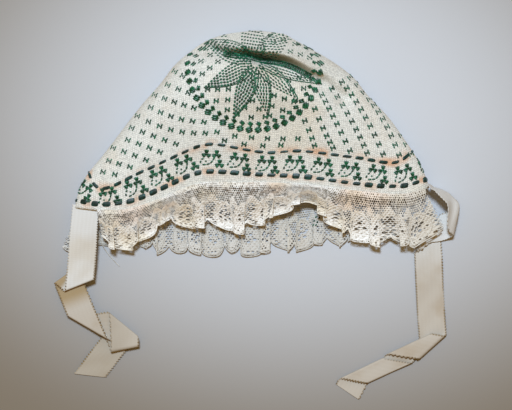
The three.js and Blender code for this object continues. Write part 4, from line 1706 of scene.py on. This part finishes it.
print("a plain fold takes", round(math.pi * FOLD_RADIUS / MM, 1), "mm of ribbon")

# %% [markdown]
# ## A point of the whole tie
#
# A point near a fold line takes its place from the run before it, so the two runs always join.
# Where a tie comes out from under the hem it is tilted, and it comes flat by and by. The raised
# bend of the right tie is then drawn in towards a circle.

# %% A point of a tie
BEND_MIDDLE = CROWN[:2] + np.array([95.5, -97.5]) * MM
BEND_RADIUS = 13.5 * MM
BEND_SLACK = 0.22  # share that stays of how far a point lies outside that circle
BEND_LENGTH = 46 * MM  # how much of the ribbon the bend takes up
BEND_BLEND = (-9 * MM, -1 * MM)  # where it fades in, across from its middle


def tie_points(tie, runs, s, w):
    """Points of the ribbon: s is the distance along it, w the distance from its middle."""
    s, w = np.ravel(s), np.ravel(w)
    k = np.zeros(len(s), int)
    for number, run in enumerate(runs[:-1]):
        k[(s - run["end"] - w * run["shear"] > 0) & (k == number)] = number + 1
    plan, z = np.zeros((len(s), 2)), np.zeros(len(s))
    for number, run in enumerate(runs):
        mine = k == number
        if not mine.any():
            continue
        plan[mine], z[mine], _ = on_run(run, s[mine], w[mine])
        if number:
            before = runs[number - 1]
            p, h, past = on_run(before, s[mine], w[mine])
            rolling = past < math.pi / 2 * FOLD_RADIUS * abs(before["turn"])
            chosen = np.flatnonzero(mine)[rolling]
            plan[chosen], z[chosen] = p[rolling], h[rolling]
    begin, end = (share * runs[0]["end"] for share in tie["easing"])
    fade = 1 - smoothstep(s, begin, end)
    tilt = math.radians(tie["tilt"]) * fade
    from_hinge = w - tie["hinge"] * TIE_WIDTH / 2
    plan = plan - runs[0]["left"] * (from_hinge * (1 - np.cos(tilt)))[:, None]
    z = z + (tie["start"] * MM - runs[0]["level"]) * fade + from_hinge * np.sin(tilt)
    from_bend = plan - BEND_MIDDLE
    reach = np.linalg.norm(from_bend, axis=1, keepdims=True)
    pulled = BEND_RADIUS + (reach - BEND_RADIUS) * BEND_SLACK
    rounded = BEND_MIDDLE + from_bend / reach * pulled
    beside = smoothstep(from_bend[:, :1], *BEND_BLEND) * (s < BEND_LENGTH)[:, None]
    plan = plan + (rounded - plan) * beside * (reach > BEND_RADIUS)
    return np.column_stack([plan, z])


tie_start = tie_points(LEFT_TIE, tie_runs(LEFT_TIE), 0.0, 0.0)[0]
print("the left tie starts at", tie_start.round(3))

# %% [markdown]
# ## Lines across the ribbon
#
# The ribbon could be cut into even squares, but then faces would be twisted where it rolls over.
# Lines across it are spaced evenly on the runs and closely round each fold, and slant with the
# fold line.

# %% Lines across the ribbon
TUCKED = 4 * MM  # hidden under the hem
STATION_STEP = 0.3 * MM
FOLD_STEPS = 8


def tie_stations(runs, cut, spacing):
    """Lines across the ribbon: place along it and slant, closer together at the folds."""
    stations = [(-TUCKED, 0.0)]
    for k, run in enumerate(runs):
        last = k == len(runs) - 1
        shear = cut if last else run["shear"]
        reach = 0 if last else math.pi / 2 * FOLD_RADIUS * abs(run["turn"])
        slant = 0 if last else reach / abs(run["normal"] @ run["way"])
        s0, shear0 = stations[-1]
        s1 = run["end"] - slant
        steps = max(4, round((s1 - s0) / spacing))
        for i in range(1, steps + 1):
            stations.append((s0 + (s1 - s0) * i / steps, shear0 + (shear - shear0) * i / steps))
        if not last:
            for i in range(1, FOLD_STEPS + 1):
                stations.append((run["end"] + slant * (2 * i / FOLD_STEPS - 1), shear))
    return np.array(stations)


left_lines = tie_stations(tie_runs(LEFT_TIE), LEFT_TIE["cut"], STATION_STEP)
print("the left tie has", len(left_lines), "lines across")

# %% [markdown]
# ## Building the ties
#
# Eleven places on each line carry the ribbon's width, closest together at its edges, where the
# outermost ones swing out and in for the picot loops. Slow waves keep the silk from looking like
# card. Real picots are loops of thread, but at this size the wavy edge shows the same.

# %% Build the ties with their picot edges
RIBBON_WALL = 0.3 * MM
PICOT_LOOP, PICOT_NOTCH = 0.9 * MM, 0.35 * MM
WANDER = 0.35 * MM  # how far the ribbon's middle strays aside
SLOW_WAVE, QUICK_WAVE = 0.22, 0.12  # mm up and down


def ribbon_tie(name, tie, seed):
    """One tie, and the length of ribbon in it."""
    runs = tie_runs(tie)
    stations = tie_stations(runs, tie["cut"], STATION_STEP)
    strips = np.array([-1, -0.94, -0.86, -0.6, -0.3, 0, 0.3, 0.6, 0.86, 0.94, 1])
    phases = np.random.default_rng(seed).uniform(0, 6.28, 4)
    s = stations[:, :1] + stations[:, 1:] * strips * TIE_WIDTH / 2
    picot = PICOT_LOOP * np.abs(np.sin(np.pi * stations[:, :1] / PICOT)) - PICOT_NOTCH
    w = strips * TIE_WIDTH / 2 + np.sign(strips) * picot * (np.abs(strips) > 0.97)
    w = w + WANDER * np.sin(s * 95 + phases[2]) * (1 - 0.4 * np.abs(strips))
    points = tie_points(tie, runs, s, w).reshape(len(stations), len(strips), 3)
    sag = SLOW_WAVE * np.sin(s * 150 + w * 120 + phases[0])
    sag = sag + QUICK_WAVE * np.sin(s * 430 + w * 500 + phases[1])
    points[..., 2] = np.maximum(points[..., 2] + sag * MM, RIBBON_WALL)
    flat = np.stack([s, np.broadcast_to(strips, s.shape)], -1).reshape(-1, 2)
    faces = grid_faces(len(stations), len(strips))
    piece = make_object(name, points.reshape(-1, 3), faces, ivory.material, flat)
    wall = piece.modifiers.new("ribbon thickness", "SOLIDIFY")
    wall.thickness = RIBBON_WALL
    wall.offset = 0
    print(name, "is", round(runs[-1]["end"] * 1000), "mm long")
    return piece, runs[-1]["end"] + TUCKED


left_tie, left_length = ribbon_tie("left_ribbon_tie", LEFT_TIE, seed=3)
right_tie, right_length = ribbon_tie("right_ribbon_tie", RIGHT_TIE, seed=5)

# %% [markdown]
# ## A loose thread
#
# One end of sewing thread has come free beside the left tie and lies curved on the table. Five
# places and their heights, joined by a smooth curve, are enough for the same tube as the cords.

# %% Loose thread end
LOOSE_THREAD = 0.24 * MM  # its radius
# x, y from the crown fold and height, in mm
THREAD_LINE = [
    (-82.5, -106.0, 4.5),
    (-81.3, -112.0, 2.4),
    (-78.4, -117.3, 0.6),
    (-75.3, -121.0, 0.4),
    (-72.2, -124.3, 0.35),
]
knots = np.column_stack([np.arange(len(THREAD_LINE)), np.array(THREAD_LINE)])
thread_line = read_table(knots, np.linspace(0, len(THREAD_LINE) - 1, 40)) * MM + CROWN
thread_points, thread_faces = tube(thread_line, LOOSE_THREAD)
loose_thread = make_object("loose_thread", thread_points, thread_faces, lace.material)
thread_length = np.linalg.norm(np.diff(thread_line, axis=0), axis=1).sum()
print("loose thread:", round(thread_length / MM), "mm long")

# %% [markdown]
# ## Stray green stitches
#
# A few ticks of the same green sit on the far frill, seen through the arch of the near one. They
# are set on the nearest point of the finished lace mesh, with its thread thickness.

# %% A few green stitches left on the far lace
STRAY_TICK = (1.3, 0.8)
STRAY_SEAT = 0.4 * MM
# x, y from the crown fold in mm
STRAY = [
    (34.2, -93.5), (32.6, -94.6), (34.9, -95.7), (33.1, -96.9), (32.0, -98.3),
    (33.7, -98.9), (31.1, -100.4), (32.7, -101.0), (30.6, -102.6), (32.0, -102.6),
]
brow_tree = BVHTree.FromObject(brow_lace, bpy.context.evaluated_depsgraph_get())
points = []
for x, y in STRAY:
    target = CROWN + np.array([x, y, 1.5]) * MM
    points.append(np.array(brow_tree.find_nearest(Vector(target))[0]) + [0, 0, STRAY_SEAT])
upright = np.tile([0, 0, 1.0], (len(points), 1))
ways = np.tile([0.5, 0.85, 0.0], (len(points), 1))
stray_stitches = ticks_at("stray_green_stitches", points, upright, ways, *STRAY_TICK)

# %% [markdown]
# ## Table
#
# A plain pale sheet of paper, cool grey round its brightest place. Painted shade turns it warm and
# darker in a ring towards the corners, and it pales a little again far out.

# %% Table top
BRIGHTEST = CROWN + np.array([21.0, -54.0, 0]) * MM
COOL_GREY, VIGNETTE_BROWN = (0.55, 0.565, 0.59, 1), (0.21, 0.175, 0.132, 1)
TABLE_REACH = 8.0
UNDER_CAP = -0.02 * MM

paper = Shader("pale_table", Roughness=0.95, Specular_IOR_Level=0.1)
floor_x = paper.node("SeparateXYZ", inputs=[paper.place()], output=0) - float(BRIGHTEST[0])
floor_y = paper.node("SeparateXYZ", inputs=[paper.place()], output=1) - float(BRIGHTEST[1])
distance = (floor_x * floor_x + floor_y * floor_y * 1.75).math("POWER", 0.5)
# painted shade: a warm, darker ring round the brightest place, paler again far out
painted_vignette = distance.between(0.06, 0.25) * distance.between(1.2, 0.25, 0.25, 1.0)
paper.set("Base Color", paper.mix(painted_vignette, COOL_GREY, VIGNETTE_BROWN))
paper.bump(paper.noise(paper.place(), 300.0, 4.0), 0.04, 0.2 * MM)
corners = [(x * TABLE_REACH, y * TABLE_REACH, 0) for x, y in ((-1, -1), (1, -1), (1, 1), (-1, 1))]
table_top = make_object("table_top", corners, [(0, 1, 2, 3)], paper.material)
table_top.location.z = UNDER_CAP
print("table: brightest at", BRIGHTEST.round(3))

# %% [markdown]
# ## Light
#
# A cool window light comes from beyond the crown, so shadows fall towards the bottom of the
# picture. It stands two metres up, so that the light is even over the whole cap, and its size
# sets how soft the edge of a shadow is. The world's own weak warm light fills the shadows with a
# mustard brown.

# %% Window light and warm fill
WINDOW_AT = Vector((-0.144, 0.784, 2.016))
WINDOW_SIZE, WINDOW_POWER, WINDOW_BLUE = 0.32, 53.0, (0.68, 0.83, 1.0)
FILL_MUSTARD, FILL_STRENGTH = (1.0, 0.62, 0.2, 1), 0.37

window = bpy.data.objects.new("window", bpy.data.lights.new("window", "AREA"))
window.data.size = WINDOW_SIZE
window.data.energy = WINDOW_POWER
window.data.color = WINDOW_BLUE
window.location = WINDOW_AT
window.rotation_euler = (-WINDOW_AT).to_track_quat("-Z", "Y").to_euler()
scene.collection.objects.link(window)

world = bpy.data.worlds.new("room")
world.use_nodes = True
room_light = world.node_tree.nodes["Background"]
room_light.inputs["Color"].default_value = FILL_MUSTARD
room_light.inputs["Strength"].default_value = FILL_STRENGTH
scene.world = world
scene.view_settings.view_transform = "Standard"
print("window light", round(WINDOW_AT.length, 2), "m away")

# %% [markdown]
# ## The pieces on the one body
#
# Every piece rides on the one rigid body, because nothing hard moves on a cap. The pieces are
# listed by the slot of the record's materials they go with, and the seven solids are hidden.

# %% Hand the pieces over
motifs = [upper_spots, lower_spots, star, wreath, sprigs]
threads = [upper_ribbon, lower_ribbon]
PIECES_BY_SLOT = {
    "knit": [knitted_cap, *motifs],
    "threaded_ribbon": threads,
    "lace": [nape_lace, nape_cords, brow_lace, brow_cords, loose_thread, stray_stitches],
    "tie_ribbon": [left_tie, right_tie],
}
for slot, pieces in PIECES_BY_SLOT.items():
    for piece in pieces:
        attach(piece, "root")
    print(slot, "is the slot of", len(pieces), "pieces")

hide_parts("knitted_cap")
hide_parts("upper_threaded_ribbon")
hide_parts("lower_threaded_ribbon")
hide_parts("nape_lace_frill")
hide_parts("brow_lace_frill")
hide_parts("left_tie")
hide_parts("right_tie")

# %% [markdown]
# ## How much ribbon the ties take
#
# The length of ribbon in each tie is printed, with the part that is tucked under the hem.

# %% Length of ribbon in the ties
print("ribbon in the ties:", round(left_length / MM), "and", round(right_length / MM), "mm")

# %% [markdown]
# ## The last update
#
# The dressed cap should fill the same box as the solids that it stands for. The last line brings
# the scene up to date before it is handed over.

# %% Finish
bpy.context.view_layer.update()
